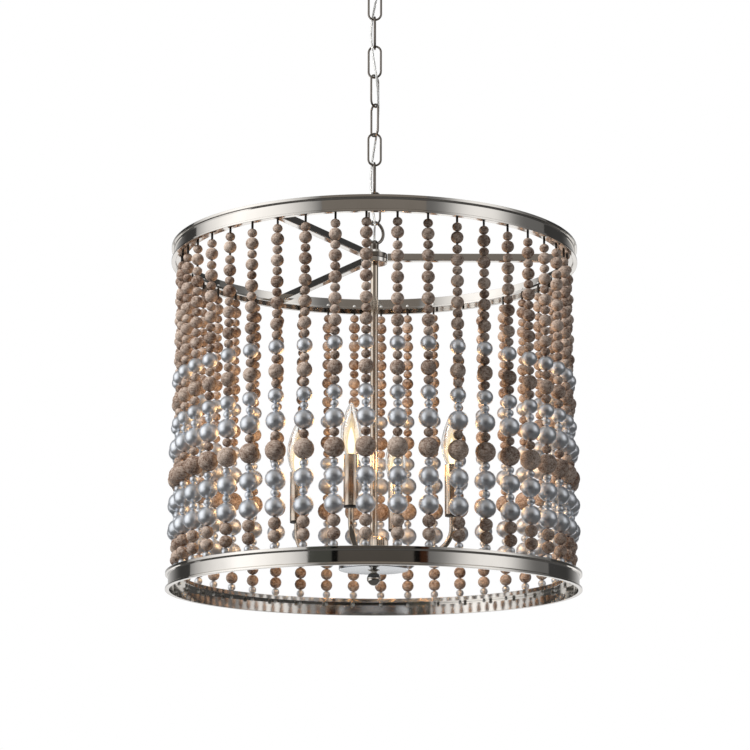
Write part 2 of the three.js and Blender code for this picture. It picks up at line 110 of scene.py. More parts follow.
class Nodes:
    """The nodes of one finish or one shape."""

    def __init__(self, tree):
        self.tree = tree

    def add(self, kind, settings=None, sockets=None, output=0):
        """Adds a node with its settings first, then the values or links of its sockets."""
        node = self.tree.nodes.new(kind)
        for name, value in (settings or {}).items():
            if name == "stops":
                for _ in range(len(value) - 2):
                    node.color_ramp.elements.new(0.5)
                for stop, (place, colour) in zip(node.color_ramp.elements, value):
                    stop.position, stop.color = place, (*colour, 1)
            else:
                setattr(node, name, value)
        for name, value in (sockets or {}).items():
            if isinstance(value, Reading):
                self.tree.links.new(value.socket, node.inputs[name])
            else:
                node.inputs[name].default_value = value
        return Reading(self, node.outputs[output]) if node.outputs else None

    def end(self, last, kind="ShaderNodeOutputMaterial", socket="Surface"):
        """Joins the last node to the tree's output."""
        self.add(kind, sockets={socket: last})


def bare_nodes(owner):
    owner.use_nodes = True
    owner.node_tree.nodes.clear()
    return Nodes(owner.node_tree)


def new_finish(name):
    """A finish with nothing in it yet, and its nodes."""
    finish = bpy.data.materials.new(name)
    return finish, bare_nodes(finish)


ROOM_LEVEL = 0.03
room = bpy.data.worlds.new("studio_air")
bpy.context.scene.world = room
air = bare_nodes(room)
ray = air.add("ShaderNodeLightPath", output="Is Camera Ray")
in_view = ray.math("MAXIMUM", ray, ray.other("Is Glossy Ray"))
in_view = ray.math("MAXIMUM", in_view, ray.other("Is Transmission Ray"))
air.end(air.add("ShaderNodeBackground", sockets={
    "Color": (1, 1, 1, 1), "Strength": ROOM_LEVEL + (1 - ROOM_LEVEL) * in_view,
}), "ShaderNodeOutputWorld")


def glow_paint(name, tone):
    """Paint for the studio's own cloths: an even glow."""
    finish, nodes = new_finish(name)
    nodes.end(nodes.add("ShaderNodeEmission", sockets={"Color": (*tone, 1), "Strength": 1}))
    return finish


def studio_thing(name, corners, faces, finish):
    mesh = bpy.data.meshes.new(name)
    mesh.from_pydata(corners, [], faces)
    mesh.materials.append(finish)
    thing = placed(name, mesh)
    return thing


def level_square(reach, height):
    """The corners of a level square round the middle."""
    return [(x * reach, y * reach, height) for x, y in ((-1, -1), (1, -1), (1, 1), (-1, 1))]


# The floor: pale paint that takes the lamp's shadow, and pale haze over it where it is looked at
FLOOR_HEIGHT, FLOOR_REACH = -2.6, 400
FLOOR_TONE, FLOOR_HAZE = (0.88, 0.88, 0.87, 1), 0.7
floor_paint, floor_nodes = new_finish("floor_paint")
floor_ray = floor_nodes.add("ShaderNodeLightPath", output="Is Camera Ray")
floor_seen = floor_ray.math("MAXIMUM", floor_ray, floor_ray.other("Is Transmission Ray"))
floor_nodes.end(floor_nodes.add("ShaderNodeMixShader", sockets={
    "Fac": FLOOR_HAZE * floor_seen,
    1: floor_nodes.add("ShaderNodeBsdfDiffuse", sockets={"Color": FLOOR_TONE}),
    2: floor_nodes.add("ShaderNodeEmission", sockets={"Color": (1, 1, 1, 1), "Strength": 1}),
}))
studio_thing("floor", level_square(FLOOR_REACH, FLOOR_HEIGHT), [(0, 1, 2, 3)], floor_paint)

# What polished metal sees of the studio: a wall with a light box at the left and one at the right,
# dark cloth between and behind them, four stands, a dim ceiling and a low cloth. The boxes are
# bright in the middle and fade to their sides. Turns and tilts are in degrees.
DRUM_MIDDLE = -0.74
WALL_REACH = 4.2
WALL_STEP, WALL_SEAM = 3, 0.01
WALL_TILTS = (-62, -40, -28, -22, -16, -8, -4, -2, 2, 6, 10, 14, 20, 30, 45, 58, 68)
LEFT_BOX_START, LEFT_BOX_END, LEFT_BOX_MIDDLE, LEFT_BOX_FOOT = -118.5, -28.5, -75, -28
RIGHT_BOX_START, RIGHT_BOX_END, RIGHT_BOX_MIDDLE = 28, 109, 60.5
CLOTH_FOOT = -4
CLOTH_WARMTH, BOX_WARMTH = 0.2, 0.02


def smoothstep(value, low, high):
    share = min(max((value - low) / (high - low), 0), 1)
    return share * share * (3 - 2 * share)


def wall_tone(turn, tilt):
    """How bright the wall is at a place; under a box's or a cloth's foot it has a tone of its own."""
    low_down = smoothstep(14 - tilt, 0, 8)
    foot = CLOTH_FOOT
    if LEFT_BOX_START < turn < LEFT_BOX_END:
        # A wide crown of light, a little dimmer low down on its outer side
        crown = 1 - abs((turn - LEFT_BOX_MIDDLE) / 50) ** 2.2
        bright = 1.38 * crown * (1 - 0.2 * low_down * smoothstep(LEFT_BOX_MIDDLE - turn, 0, 15))
        low, foot = 0.4, LEFT_BOX_FOOT
    elif RIGHT_BOX_START < turn < RIGHT_BOX_END:
        # A narrower one over an even glow, wider low down
        across = abs((turn - RIGHT_BOX_MIDDLE - 3 * low_down) / (19 + 3 * low_down))
        bright = 0.15 + 0.9 * math.exp(-across ** 3)
        low = 0.06
    elif LEFT_BOX_END < turn < RIGHT_BOX_START:
        # The dark cloth in front, paler towards its top
        bright = max(0.055 + 0.0075 * tilt, 0.013 * tilt - 0.03)
        low = 0.01
    else:
        # The cloth behind, paler towards its middle, with a pale strip under it
        bright = 0.05 + 0.5 * smoothstep(abs(turn), 130, 165)
        low = 0.08 if abs(turn) < 140 or tilt < -30 else 0.62 + 0.7 * smoothstep(-tilt, 7, 18)
    if tilt <= foot:
        return low
    return bright * (1 - 0.55 * smoothstep(tilt, 25, 60))


def glow_only(thing):
    """Seen by polished surfaces alone; lights nothing and hides nothing."""
    thing.visible_camera = False
    thing.visible_diffuse = False
    thing.visible_transmission = False
    thing.visible_shadow = False


def wall_point(turn, tilt, reach):
    turn, tilt = math.radians(turn), math.radians(tilt)
    return reach * math.sin(turn), -reach * math.cos(turn), DRUM_MIDDLE + reach * math.tan(tilt)


wall_edges = (LEFT_BOX_START, LEFT_BOX_END, RIGHT_BOX_START, RIGHT_BOX_END)
wall_turns = []
for left, right in zip(wall_edges, (*wall_edges[1:], wall_edges[0] + 360)):
    steps = round((right - left) / WALL_STEP)
    width = right - left - 2 * WALL_SEAM
    wall_turns += [left + WALL_SEAM + width * step / steps for step in range(steps + 1)]
wall_corners, wall_tones = [], []
for turn in wall_turns:
    for tilt in WALL_TILTS:
        wall_corners.append(wall_point(turn, tilt, WALL_REACH))
        tone = wall_tone(turn if turn <= 180 else turn - 360, tilt)
        warmth = CLOTH_WARMTH if LEFT_BOX_END < turn < RIGHT_BOX_START else BOX_WARMTH
        wall_tones += [tone, tone * (1 - warmth * 0.5), tone * (1 - warmth), 1]
high = len(WALL_TILTS)
wall_faces = []
for i in range(len(wall_turns)):
    after = (i + 1) % len(wall_turns)
    for j in range(high - 1):
        wall_faces.append((i * high + j, after * high + j, after * high + j + 1, i * high + j + 1))
wall_paint, wall_nodes = new_finish("wall_glow")
wall_nodes.end(wall_nodes.add("ShaderNodeEmission", sockets={
    "Color": wall_nodes.add("ShaderNodeAttribute", {"attribute_name": "glow"}), "Strength": 1,
}))
wall = studio_thing("studio_wall", wall_corners, wall_faces, wall_paint)
wall.data.color_attributes.new("glow", "FLOAT_COLOR", "POINT").data.foreach_set("color", wall_tones)
glow_only(wall)

# Each stand or hanging cloth: the turns of its two sides, the tilt of its top, and its tone
STAND_FOOT, STAND_AHEAD = -28, 0.05
STANDS = {
    "grey_cloth_left": (-34.8, -21.9, 9, (0.066, 0.068, 0.06)),
    "black_stand_left": (-21.9, -18.6, 11, (0.004, 0.004, 0.004)),
    "black_stand_right": (20.9, 24.3, 11, (0.004, 0.004, 0.004)),
    "brown_stand_right": (24.3, 28.5, 11, (0.045, 0.018, 0.009)),
}
stand_reach = WALL_REACH - STAND_AHEAD
for stand_name, (left, right, stand_top, tone) in STANDS.items():
    tilts = (STAND_FOOT, stand_top)
    corners = [wall_point(turn, tilt, stand_reach) for turn in (left, right) for tilt in tilts]
    glow_only(studio_thing(stand_name, corners, [(0, 2, 3, 1)], glow_paint(stand_name, tone)))

CEILING_TONE = (0.42, 0.42, 0.42)
ceiling_corners = [wall_point(turn, WALL_TILTS[-1], WALL_REACH) for turn in range(0, 360, 15)]
ceiling_face = tuple(range(len(ceiling_corners)))
ceiling_paint = glow_paint("ceiling_glow", CEILING_TONE)
glow_only(studio_thing("studio_ceiling", ceiling_corners, [ceiling_face], ceiling_paint))

CLOTH_REACH, CLOTH_RISE, CLOTH_TONE = 6, 0.05, (0.09, 0.088, 0.085)
cloth_corners = level_square(CLOTH_REACH, FLOOR_HEIGHT + CLOTH_RISE)
cloth_paint = glow_paint("low_cloth", CLOTH_TONE)
glow_only(studio_thing("low_cloth", cloth_corners, [(0, 1, 2, 3)], cloth_paint))


def soft_lamp(name, turn, tilt, reach, side, power, tone):
    light = bpy.data.lights.new(name, "AREA")
    light.shape = "DISK"
    light.size = side
    light.energy = power
    light.color = tone
    lamp = placed(name, light)
    turn, tilt = math.radians(turn), math.radians(tilt)
    away = Vector((
        math.cos(tilt) * math.sin(turn), -math.cos(tilt) * math.cos(turn), math.sin(tilt),
    ))
    lamp.location = Vector((0, 0, DRUM_MIDDLE)) + away * reach
    lamp.rotation_euler = away.to_track_quat("Z", "Y").to_euler()
    lamp.visible_glossy = False


soft_lamp("key_lamp", turn=-64, tilt=34, reach=3.2, side=1.4, power=148, tone=(1, 0.99, 0.97))
soft_lamp("fill_lamp", turn=66, tilt=20, reach=3.0, side=1.6, power=19, tone=(0.97, 0.98, 1))


# Supply cord: clear soft plastic over two silver-coloured wires, about 3 mm across. It comes down
# through the canopy's eye, weaves through the chain and ends in the drum's eye. From here on
# shapes are drawn in millimetres.
MM = 0.001
CORD = 3.2
CORD_OFFSET = 5.6
CORD_TOP, CORD_BOTTOM = -43.9, -464.8
CORD_JOINS = (-94.8, -141, -371.3, -417.4)
CORD_STEP = 3
CONDUCTOR_RADIUS, CONDUCTOR_OFFSET, CONDUCTOR_TWIST = 0.55, 0.62, 0.35
CANOPY_LOOP_TURN, HANGING_LOOP_TURN = -90, 577
LINK_TURNS = [0, 88, 170, 236, 302, 368, 446, 512]
FIRST_LINK_TOP, LINK_PITCH = -66.6, 46.1
LINK_TOPS = [FIRST_LINK_TOP - LINK_PITCH * i for i in range(len(LINK_TURNS))]
HANGING_LOOP_TOP = -435.1
LINK_HOOK, LOOP_HOOK = 3.35, 3.65
# Where each piece hangs in the bow of the one above it, from the first link to the drum's eye
HOOKS = [*(top - LINK_HOOK for top in LINK_TOPS), HANGING_LOOP_TOP - LOOP_HOOK]
HINGES = [-71.85, -117.8, -394.4, -440.5]
HINGE_BEND = 9


def finished(name, form, finishes, crease=35):
    """Makes a piece of what was formed in millimetres, shaded smooth between its sharp edges."""
    form.transform(Matrix.Scale(MM, 4))
    bmesh.ops.recalc_face_normals(form, faces=form.faces)
    mesh = bpy.data.meshes.new(name)
    form.to_mesh(mesh)
    form.free()
    for finish in finishes:
        mesh.materials.append(finish)
    mesh.shade_smooth()
    mesh.set_sharp_from_angle(angle=math.radians(crease))
    return placed(name, mesh)


def drawn(form, path, radii, sides, closed=False, finish=0):
    """A round bar along points, with a radius at each; its section never twists."""
    path = [Vector(point) for point in path]
    count = len(path)
    radii = radii if isinstance(radii, list) else [radii] * count
    rings = []
    along = across = None
    for i, point in enumerate(path):
        before = path[i - 1] if closed or i else point
        after = path[(i + 1) % count] if closed or i < count - 1 else point
        ahead = (after - before).normalized()
        if along is None:
            across = ahead.orthogonal().normalized()
        else:
            across = along.rotation_difference(ahead) @ across
        along = ahead
        beside = along.cross(across)
        turns = [math.tau * side / sides for side in range(sides)]
        rings.append([
            form.verts.new(point + radii[i] * (across * math.cos(turn) + beside * math.sin(turn)))
            for turn in turns
        ])
    made = []
    for near, far in zip(rings, rings[1:] + rings[:1] if closed else rings[1:]):
        for side in range(sides):
            after = (side + 1) % sides
            made.append(form.faces.new((near[side], near[after], far[after], far[side])))
    if not closed:
        made += [form.faces.new(rings[0]), form.faces.new(rings[-1])]
    for face in made:
        face.material_index = finish


def cord_point(height):
    """The cord's middle at a height; it passes half-way between the two bows that meet."""
    turns = [CANOPY_LOOP_TURN, *LINK_TURNS, HANGING_LOOP_TURN]
    angles = [(turns[i] + turns[i + 1]) / 2 + 90 for i in range(len(HOOKS))]
    at = next((i for i, hook in enumerate(HOOKS) if height >= hook), len(HOOKS))
    if at == 0 or at == len(HOOKS):
        angle = angles[min(at, len(HOOKS) - 1)]
    else:
        share = (HOOKS[at - 1] - height) / (HOOKS[at - 1] - HOOKS[at])
        angle = angles[at - 1] + (angles[at] - angles[at - 1]) * share
    start = smoothstep(CORD_TOP - height, CORD, CORD_TOP - HOOKS[0])
    end = smoothstep(height - CORD_BOTTOM, CORD, HOOKS[-1] - CORD_BOTTOM)
    radius = CORD_OFFSET * min(start, end)
    angle = math.radians(angle)
    return Vector((radius * math.cos(angle), radius * math.sin(angle), height))


def noise(nodes, place, scale, detail, roughness=0.5):
    """Soft clouds, from 0 to 1."""
    return nodes.add("ShaderNodeTexNoise", sockets={
        "Vector": place, "Scale": scale, "Detail": detail, "Roughness": roughness,
    })


def clouded_finish(name, sockets, rough, rough_range, clouds, detail=2):
    """Plastic or paint: one shader, with faint clouds in its polish."""
    finish, nodes = new_finish(name)
    cloud = noise(nodes, nodes.add("ShaderNodeTexCoord", output="Object"), clouds, detail)
    nodes.end(nodes.add("ShaderNodeBsdfPrincipled", sockets={
        **sockets, "Roughness": rough + rough_range * cloud,
    }))
    return finish


def metal_finish(name, colour, dark, rough, rough_range, clouds, scratch=0.0):
    """Plated or painted metal: faint clouds in its colour and polish, and fine marks."""
    finish, nodes = new_finish(name)
    place = nodes.add("ShaderNodeTexCoord", output="Object")
    cloud = noise(nodes, place, clouds, 4)
    tint = nodes.add("ShaderNodeValToRGB", {"stops": [(0.3, dark), (0.65, colour)]}, {"Fac": cloud})
    marks = noise(nodes, place, clouds * 9, 6)
    sockets = {
        "Base Color": tint, "Metallic": 1.0,
        "Roughness": rough + rough_range * (cloud * 0.6 + marks * 0.4),
    }
    if scratch:
        sockets["Normal"] = nodes.add("ShaderNodeBump", sockets={
            "Height": marks, "Strength": scratch, "Distance": 0.0002,
        })
    nodes.end(nodes.add("ShaderNodeBsdfPrincipled", sockets=sockets))
    return finish


clear_sheath = clouded_finish("clear_sheath", {
    "Base Color": (0.86, 0.87, 0.87, 1), "Transmission Weight": 0.6, "IOR": 1.46,
}, rough=0.28, rough_range=0.2, clouds=180)
tinned_wire = metal_finish(
    "tinned_wire", (0.84, 0.83, 0.81), (0.72, 0.70, 0.68), rough=0.25, rough_range=0.1, clouds=60,
)

# The cord's lengths: all but the middle one span one hinge, and they meet on the piece that two
# lengths share. The middle one rides on the chain; the others stay where they are drawn.
cord_ends = [CORD_TOP, *CORD_JOINS, CORD_BOTTOM]
cord_holders = [
    ("ceiling", "link_1"), ("link_1", "chain"), ("chain",), ("chain", "link_8"), ("link_8", "drum"),
]
hinge_below = iter(HINGES)
for i, holders in enumerate(cord_holders):
    top, bottom = cord_ends[i], cord_ends[i + 1]
    steps = round((top - bottom) / CORD_STEP)
    heights = [top + (bottom - top) * step / steps for step in range(steps + 1)]
    cord_form = bmesh.new()
    drawn(cord_form, [cord_point(height) for height in heights], CORD / 2, sides=16)
    for side in (0, math.pi):
        twisted = []
        for height in heights:
            turn = side + height * CONDUCTOR_TWIST
            aside = (CONDUCTOR_OFFSET * math.cos(turn), CONDUCTOR_OFFSET * math.sin(turn), 0)
            twisted.append(cord_point(height) + Vector(aside))
        drawn(cord_form, twisted, CONDUCTOR_RADIUS, sides=8, finish=1)
    cord = finished(f"cord_length_{i + 1}", cord_form, [clear_sheath, tinned_wire])
    if len(holders) == 2:
        hinge = next(hinge_below)
        upper, lower = (hinge + HINGE_BEND) * MM, (hinge - HINGE_BEND) * MM
        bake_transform(cord)
    else:
        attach(cord, holders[0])
    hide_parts("supply_cord")

# Ceiling crossbar: the zinc-plated steel bar that two screws hold to the ceiling's box. It is cut
# and punched from strip, and the frame's own shape is right.
zinc = metal_finish(
    "zinc_plate", (0.62, 0.62, 0.61), (0.46, 0.46, 0.46),
    rough=0.3, rough_range=0.18, clouds=90, scratch=0.15,
)
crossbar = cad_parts["ceiling_crossbar"]
crossbar.data.materials.clear()
crossbar.data.materials.append(zinc)

# Canopy: a shallow cover spun from thin steel and nickel-plated, with a short straight rim. Its
# collar screws up the loop's threaded stem and holds it against the ceiling.
CANOPY_RADIUS, CANOPY_DEPTH, CANOPY_WALL = 62, 24, 1.5
CANOPY_SHARES = [(1, 0), (1, 0.14), (0.94, 0.5), (0.72, 0.86), (0.36, 1)]
CANOPY_HOLE = 5.2
COLLAR_TOP, COLLAR_BOTTOM, COLLAR_RADIUS = -24.3, -29.3, 13
COLLAR_SLOPE_WIDTH, COLLAR_SLOPE_HEIGHT, COLLAR_EDGE = 2, 1.6, 0.5
COLLAR_GRIPS, GRIP_DEPTH = 30, 0.5
nickel = metal_finish(
    "polished_nickel", (0.78, 0.755, 0.72), (0.70, 0.675, 0.635),
    rough=0.03, rough_range=0.07, clouds=14,
)


def turned(form, outline, sides, place=Matrix(), closed=False, finish=0, flutes=None):
    """Turns points of radius and height; flutes are how many, how deep and on which rows."""
    rings = []
    for row, (radius, height) in enumerate(outline):
        if radius == 0:
            rings.append([form.verts.new(place @ Vector((0, 0, height)))])
            continue
        ring = []
        for side in range(sides):
            turn = math.tau * side / sides
            reach = radius
            if flutes and row in flutes[2]:
                reach -= flutes[1] * (0.5 - 0.5 * math.cos(flutes[0] * turn))
            point = Vector((reach * math.cos(turn), reach * math.sin(turn), height))
            ring.append(form.verts.new(place @ point))
        rings.append(ring)
    for near, far in zip(rings, rings[1:] + rings[:1] if closed else rings[1:]):
        for side in range(sides):
            after = (side + 1) % sides
            corners = list(dict.fromkeys((
                near[side % len(near)], near[after % len(near)],
                far[after % len(far)], far[side % len(far)],
            )))
            if len(corners) > 2:
                form.faces.new(corners).material_index = finish


def turned_piece(
    name, outline, finishes, sides, place=Matrix(), closed=True, flutes=None, crease=35,
):
    """A piece turned in one from its section."""
    form = bmesh.new()
    turned(form, outline, sides, place, closed, flutes=flutes)
    return finished(name, form, finishes, crease)


def flowing(points, steps):
    """A smooth line through points."""
    line = []
    ends = [points[0], *points, points[-1]]
    for i in range(1, len(ends) - 2):
        p0, p1, p2, p3 = (Vector(point) for point in ends[i - 1:i + 3])
        for step in range(steps):
            t = step / steps
            line.append(0.5 * (2 * p1 + (p2 - p0) * t + (2 * p0 - 5 * p1 + 4 * p2 - p3) * t * t
                               + (3 * p1 - p0 - 3 * p2 + p3) * t ** 3))
    return [*line, Vector(points[-1])]


# A rounded corner takes at most this share of each side, and a point just past it keeps it flat
EASED_SHARE, EASED_HOLD = 0.45, 1.1


def eased(outline, radius, closed=True, steps=3):
    """Rounds an outline's corners, as buffing does. A third value is a corner's own radius."""
    count = len(outline)
    line = []
    for i, point in enumerate(outline):
        corner = Vector(point[:2])
        if not closed and i in (0, count - 1) or corner.x == 0:
            line.append(corner)
            continue
        before = Vector(outline[i - 1][:2]) - corner
        after = Vector(outline[(i + 1) % count][:2]) - corner
        own = point[2] if len(point) > 2 else radius
        reach = min(own, before.length * EASED_SHARE, after.length * EASED_SHARE)
        before, after = before.normalized() * reach, after.normalized() * reach
        line.append(corner + before * EASED_HOLD)
        for step in range(steps + 1):
            t = step / steps
            line.append(corner + before * (1 - t) ** 2 + after * t * t)
        line.append(corner + after * EASED_HOLD)
    return line


canopy_bends = [(CANOPY_RADIUS * across, -CANOPY_DEPTH * down) for across, down in CANOPY_SHARES]
canopy_outside = flowing(canopy_bends, steps=8)
canopy_inside = [
    Vector((radius - CANOPY_WALL, min(height + CANOPY_WALL, 0)))
    for radius, height in canopy_outside
]
canopy_outline = [
    (CANOPY_HOLE, -CANOPY_DEPTH), *reversed(canopy_outside), *canopy_inside,
    (CANOPY_HOLE, -CANOPY_DEPTH + CANOPY_WALL),
]
canopy = turned_piece("canopy_cover", canopy_outline, [nickel], sides=96)
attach(canopy, "ceiling")
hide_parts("canopy")

collar_outline = eased([
    (CANOPY_HOLE, COLLAR_BOTTOM), (COLLAR_RADIUS - COLLAR_SLOPE_WIDTH, COLLAR_BOTTOM),
    (COLLAR_RADIUS, COLLAR_BOTTOM + COLLAR_SLOPE_HEIGHT), (COLLAR_RADIUS, COLLAR_TOP),
    (CANOPY_HOLE, COLLAR_TOP),
], COLLAR_EDGE)
collar_grips = (COLLAR_GRIPS, GRIP_DEPTH, range(7, 23))
collar = turned_piece("canopy_collar_nut", collar_outline, [nickel], sides=120, flutes=collar_grips)
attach(collar, "ceiling")
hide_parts("canopy_collar")

# The two loops: round eyes cast with a grooved shoulder on a threaded stem, and plated; their
# nickel is darker than the rings', a painted shade for the dark studio they mirror. The upper one
# carries the chain from the canopy; the lower one screws into the drum's hub with a knurled nut
# under it.
LOOP_RADIUS, LOOP_WIRE, LOOP_BAR = 17.5, 3.5, 4.6
LOOP_BOSS_RADIUS, LOOP_BOSS_RISE = 6.5, 1.5
LOOP_STEM_RADIUS, LOOP_SHOULDER = 4.8, 9
LOOP_GROOVES, GROOVE_DEPTH, GROOVE_HALF = (0.2, 0.42, 0.64), 0.7, 0.5
LOOP_EDGE, LOOP_CROWN, LOOP_FACETS = 0.6, 1.3, 72
CANOPY_EYE, HANGING_EYE = -56.1, -452.6
CANOPY_STEM_TOP = -2.8
HANGING_STEM_BOTTOM = -491.4
NUT_TOP, NUT_BOTTOM, NUT_RADIUS = -479.4, -485.4, 9
NUT_SLOPE, NUT_EDGE, NUT_KNURLS = 0.8, 0.3, 36
THREADED_HOLE = 5.4
# Darkened nickel: its dark colour is painted shade, the dim studio mirrored in the loops, chain and
# upper hub plate
nickel_darkened_as_painted_shade = metal_finish(
    "nickel_darkened_as_painted_shade", (0.34, 0.31, 0.28), (0.22, 0.2, 0.18), rough=0.05, rough_range=0.08, clouds=30,
)


def eye_loop(name, place, stem):
    form = bmesh.new()
    middle = LOOP_RADIUS - LOOP_WIRE + LOOP_BAR / 2
    circle = []
    for i in range(LOOP_FACETS):
        turn = math.tau * i / LOOP_FACETS
        circle.append(place @ Vector((middle * math.cos(turn), 0, middle * math.sin(turn))))
    drawn(form, circle, LOOP_BAR / 2, sides=20, closed=True)
    foot = -LOOP_RADIUS - LOOP_SHOULDER
    boss_top = -LOOP_RADIUS + LOOP_WIRE + LOOP_BOSS_RISE
    shoulder = [(LOOP_BOSS_RADIUS, foot)]
    for groove in LOOP_GROOVES:
        at = foot + LOOP_SHOULDER * groove
        shoulder += [
            (LOOP_BOSS_RADIUS, at - GROOVE_HALF), (LOOP_BOSS_RADIUS - GROOVE_DEPTH, at),
            (LOOP_BOSS_RADIUS, at + GROOVE_HALF),
        ]
    post = [
        (0, foot - stem), (LOOP_STEM_RADIUS, foot - stem), (LOOP_STEM_RADIUS, foot), *shoulder,
        (LOOP_BOSS_RADIUS, -LOOP_RADIUS - LOOP_EDGE),
        (LOOP_BOSS_RADIUS - LOOP_EDGE, -LOOP_RADIUS + LOOP_EDGE / 3),
        (LOOP_STEM_RADIUS - LOOP_EDGE, boss_top - LOOP_EDGE),
        (LOOP_STEM_RADIUS - LOOP_CROWN, boss_top), (0, boss_top),
    ]
    turned(form, post, 40, place)
    return finished(name, form, [nickel_darkened_as_painted_shade])


hanging_turn = Matrix.Rotation(math.radians(HANGING_LOOP_TURN), 4, "Z")
hanging_place = Matrix.Translation((0, 0, HANGING_EYE)) @ hanging_turn
canopy_turn = Matrix.Rotation(math.radians(CANOPY_LOOP_TURN), 4, "Z")
upside_down = Matrix.Rotation(math.pi, 4, "X")
canopy_place = Matrix.Translation((0, 0, CANOPY_EYE)) @ canopy_turn @ upside_down
canopy_stem = CANOPY_STEM_TOP - (CANOPY_EYE + LOOP_RADIUS + LOOP_SHOULDER)
hanging_stem = HANGING_EYE - LOOP_RADIUS - LOOP_SHOULDER - HANGING_STEM_BOTTOM
for eye_name, holder, node, place, stem in (
    ("canopy_eye", "ceiling", "canopy_loop", canopy_place, canopy_stem),
    ("drum_eye", "drum", "hanging_loop", hanging_place, hanging_stem),
):
    eye = eye_loop(eye_name, place, stem)
    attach(eye, holder)
    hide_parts(node)

nut_outline = eased([
    (THREADED_HOLE, NUT_BOTTOM), (NUT_RADIUS - NUT_SLOPE, NUT_BOTTOM),
    (NUT_RADIUS, NUT_BOTTOM + NUT_SLOPE), (NUT_RADIUS, NUT_TOP - NUT_SLOPE),
    (NUT_RADIUS - NUT_SLOPE, NUT_TOP), (THREADED_HOLE, NUT_TOP),
], NUT_EDGE)
nut_grips = (NUT_KNURLS, GRIP_DEPTH, range(8, 28))
nut = turned_piece("knurled_nut", nut_outline, [nickel], sides=144, flutes=nut_grips)
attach(nut, "drum")
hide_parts("loop_nut")

# Chain: eight links of round steel wire, each bent to two half-round bows and butted, then plated
# as the loops are, in nickel darkened as painted shade. Every link hangs in the bow of the one
# above it, turned against it.
LINK_LENGTH, LINK_WIDTH, LINK_WIRE = 52.8, 22, 3.2
BOW_FACETS, LINK_WIRE_FACETS = 20, 18
LINK_SHAPE_INPUTS = {
    "Length": "NodeSocketFloat", "Width": "NodeSocketFloat", "Wire": "NodeSocketFloat",
    "Bow facets": "NodeSocketInt", "Wire facets": "NodeSocketInt", "Finish": "NodeSocketMaterial",
}


def shape_nodes(name, inputs):
    """An empty shape tree with named inputs, and a reading of its first input, the geometry."""
    tree = bpy.data.node_groups.new(name, "GeometryNodeTree")
    tree.interface.new_socket("Geometry", in_out="INPUT", socket_type="NodeSocketGeometry")
    tree.interface.new_socket("Geometry", in_out="OUTPUT", socket_type="NodeSocketGeometry")
    for label, kind in inputs.items():
        tree.interface.new_socket(label, in_out="INPUT", socket_type=kind)
    nodes = Nodes(tree)
    return nodes, nodes.add("NodeGroupInput")


def ended(nodes, geometry, finish):
    """Ends a shape tree: instances become mesh and take their finish."""
    real = nodes.add("GeometryNodeRealizeInstances", sockets={"Geometry": geometry})
    nodes.end(nodes.add("GeometryNodeSetMaterial", sockets={
        "Geometry": real, "Material": finish,
    }), "NodeGroupOutput", 0)


def noted(nodes, name):
    """The number kept at each place under a name."""
    return nodes.add("GeometryNodeInputNamedAttribute", {"data_type": "FLOAT"}, {"Name": name})


def formed(name, start, nodes, sizes, crease=35):
    """A piece made by a shape tree from a starting mesh, as a plain mesh."""
    piece = placed(name, start)
    shaping = piece.modifiers.new(name, "NODES")
    shaping.node_group = nodes.tree
    for socket in nodes.tree.interface.items_tree:
        if socket.in_out == "INPUT" and socket.name in sizes:
            shaping[socket.identifier] = sizes[socket.name]
    made = piece.evaluated_get(bpy.context.evaluated_depsgraph_get())
    mesh = bpy.data.meshes.new_from_object(made)
    piece.modifiers.remove(shaping)
    piece.data = mesh
    mesh.shade_smooth()
    mesh.set_sharp_from_angle(angle=math.radians(crease))
    return piece


link_shape, link_given = shape_nodes("chain_link_shape", LINK_SHAPE_INPUTS)
link_wire = link_given.other("Wire")
link_width = link_given.other("Width") - link_wire
link_frame = link_shape.add("GeometryNodeCurvePrimitiveQuadrilateral", sockets={
    "Width": link_width, "Height": link_given.other("Length") - link_wire,
})
link_line = link_shape.add("GeometryNodeFilletCurve", {"mode": "POLY"}, {
    "Curve": link_frame, "Count": link_given.other("Bow facets"), "Radius": link_width * 0.5,
    "Limit Radius": True,
})
link_round = link_shape.add("GeometryNodeCurvePrimitiveCircle", sockets={
    "Resolution": link_given.other("Wire facets"), "Radius": link_wire * 0.5,
})
link_bent = link_shape.add("GeometryNodeCurveToMesh", sockets={
    "Curve": link_line, "Profile Curve": link_round,
})
link_up = link_shape.add("GeometryNodeTransform", sockets={
    "Geometry": link_bent, "Rotation": (math.pi / 2, 0, 0),
})
link_hung = link_shape.add("GeometryNodeInstanceOnPoints", sockets={
    "Points": link_given, "Instance": link_up,
    "Rotation": link_shape.add("FunctionNodeEulerToRotation", sockets={
        "Euler": link_shape.add("ShaderNodeCombineXYZ", sockets={"Z": noted(link_shape, "turn")}),
    }),
})
ended(link_shape, link_hung, link_given.other("Finish"))

CHAIN_PARTS = {
    "chain_link_1": ("link_1", [0]), "chain_middle": ("chain", [1, 2, 3, 4, 5, 6]),
    "chain_link_8": ("link_8", [7]),
}
for chain_part, (holder, numbers) in CHAIN_PARTS.items():
    places = bpy.data.meshes.new(f"{holder}_places")
    places.from_pydata([(0, 0, (LINK_TOPS[i] - LINK_LENGTH / 2) * MM) for i in numbers], [], [])
    turns = places.attributes.new("turn", "FLOAT", "POINT")
    turns.data.foreach_set("value", [math.radians(LINK_TURNS[i]) for i in numbers])
    links = formed(chain_part, places, link_shape, {
        "Length": LINK_LENGTH * MM, "Width": LINK_WIDTH * MM, "Wire": LINK_WIRE * MM,
        "Bow facets": BOW_FACETS, "Wire facets": LINK_WIRE_FACETS, "Finish": nickel_darkened_as_painted_shade,
    })
    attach(links, holder)
    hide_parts(*(f"chain_link_{i + 1}" for i in numbers))
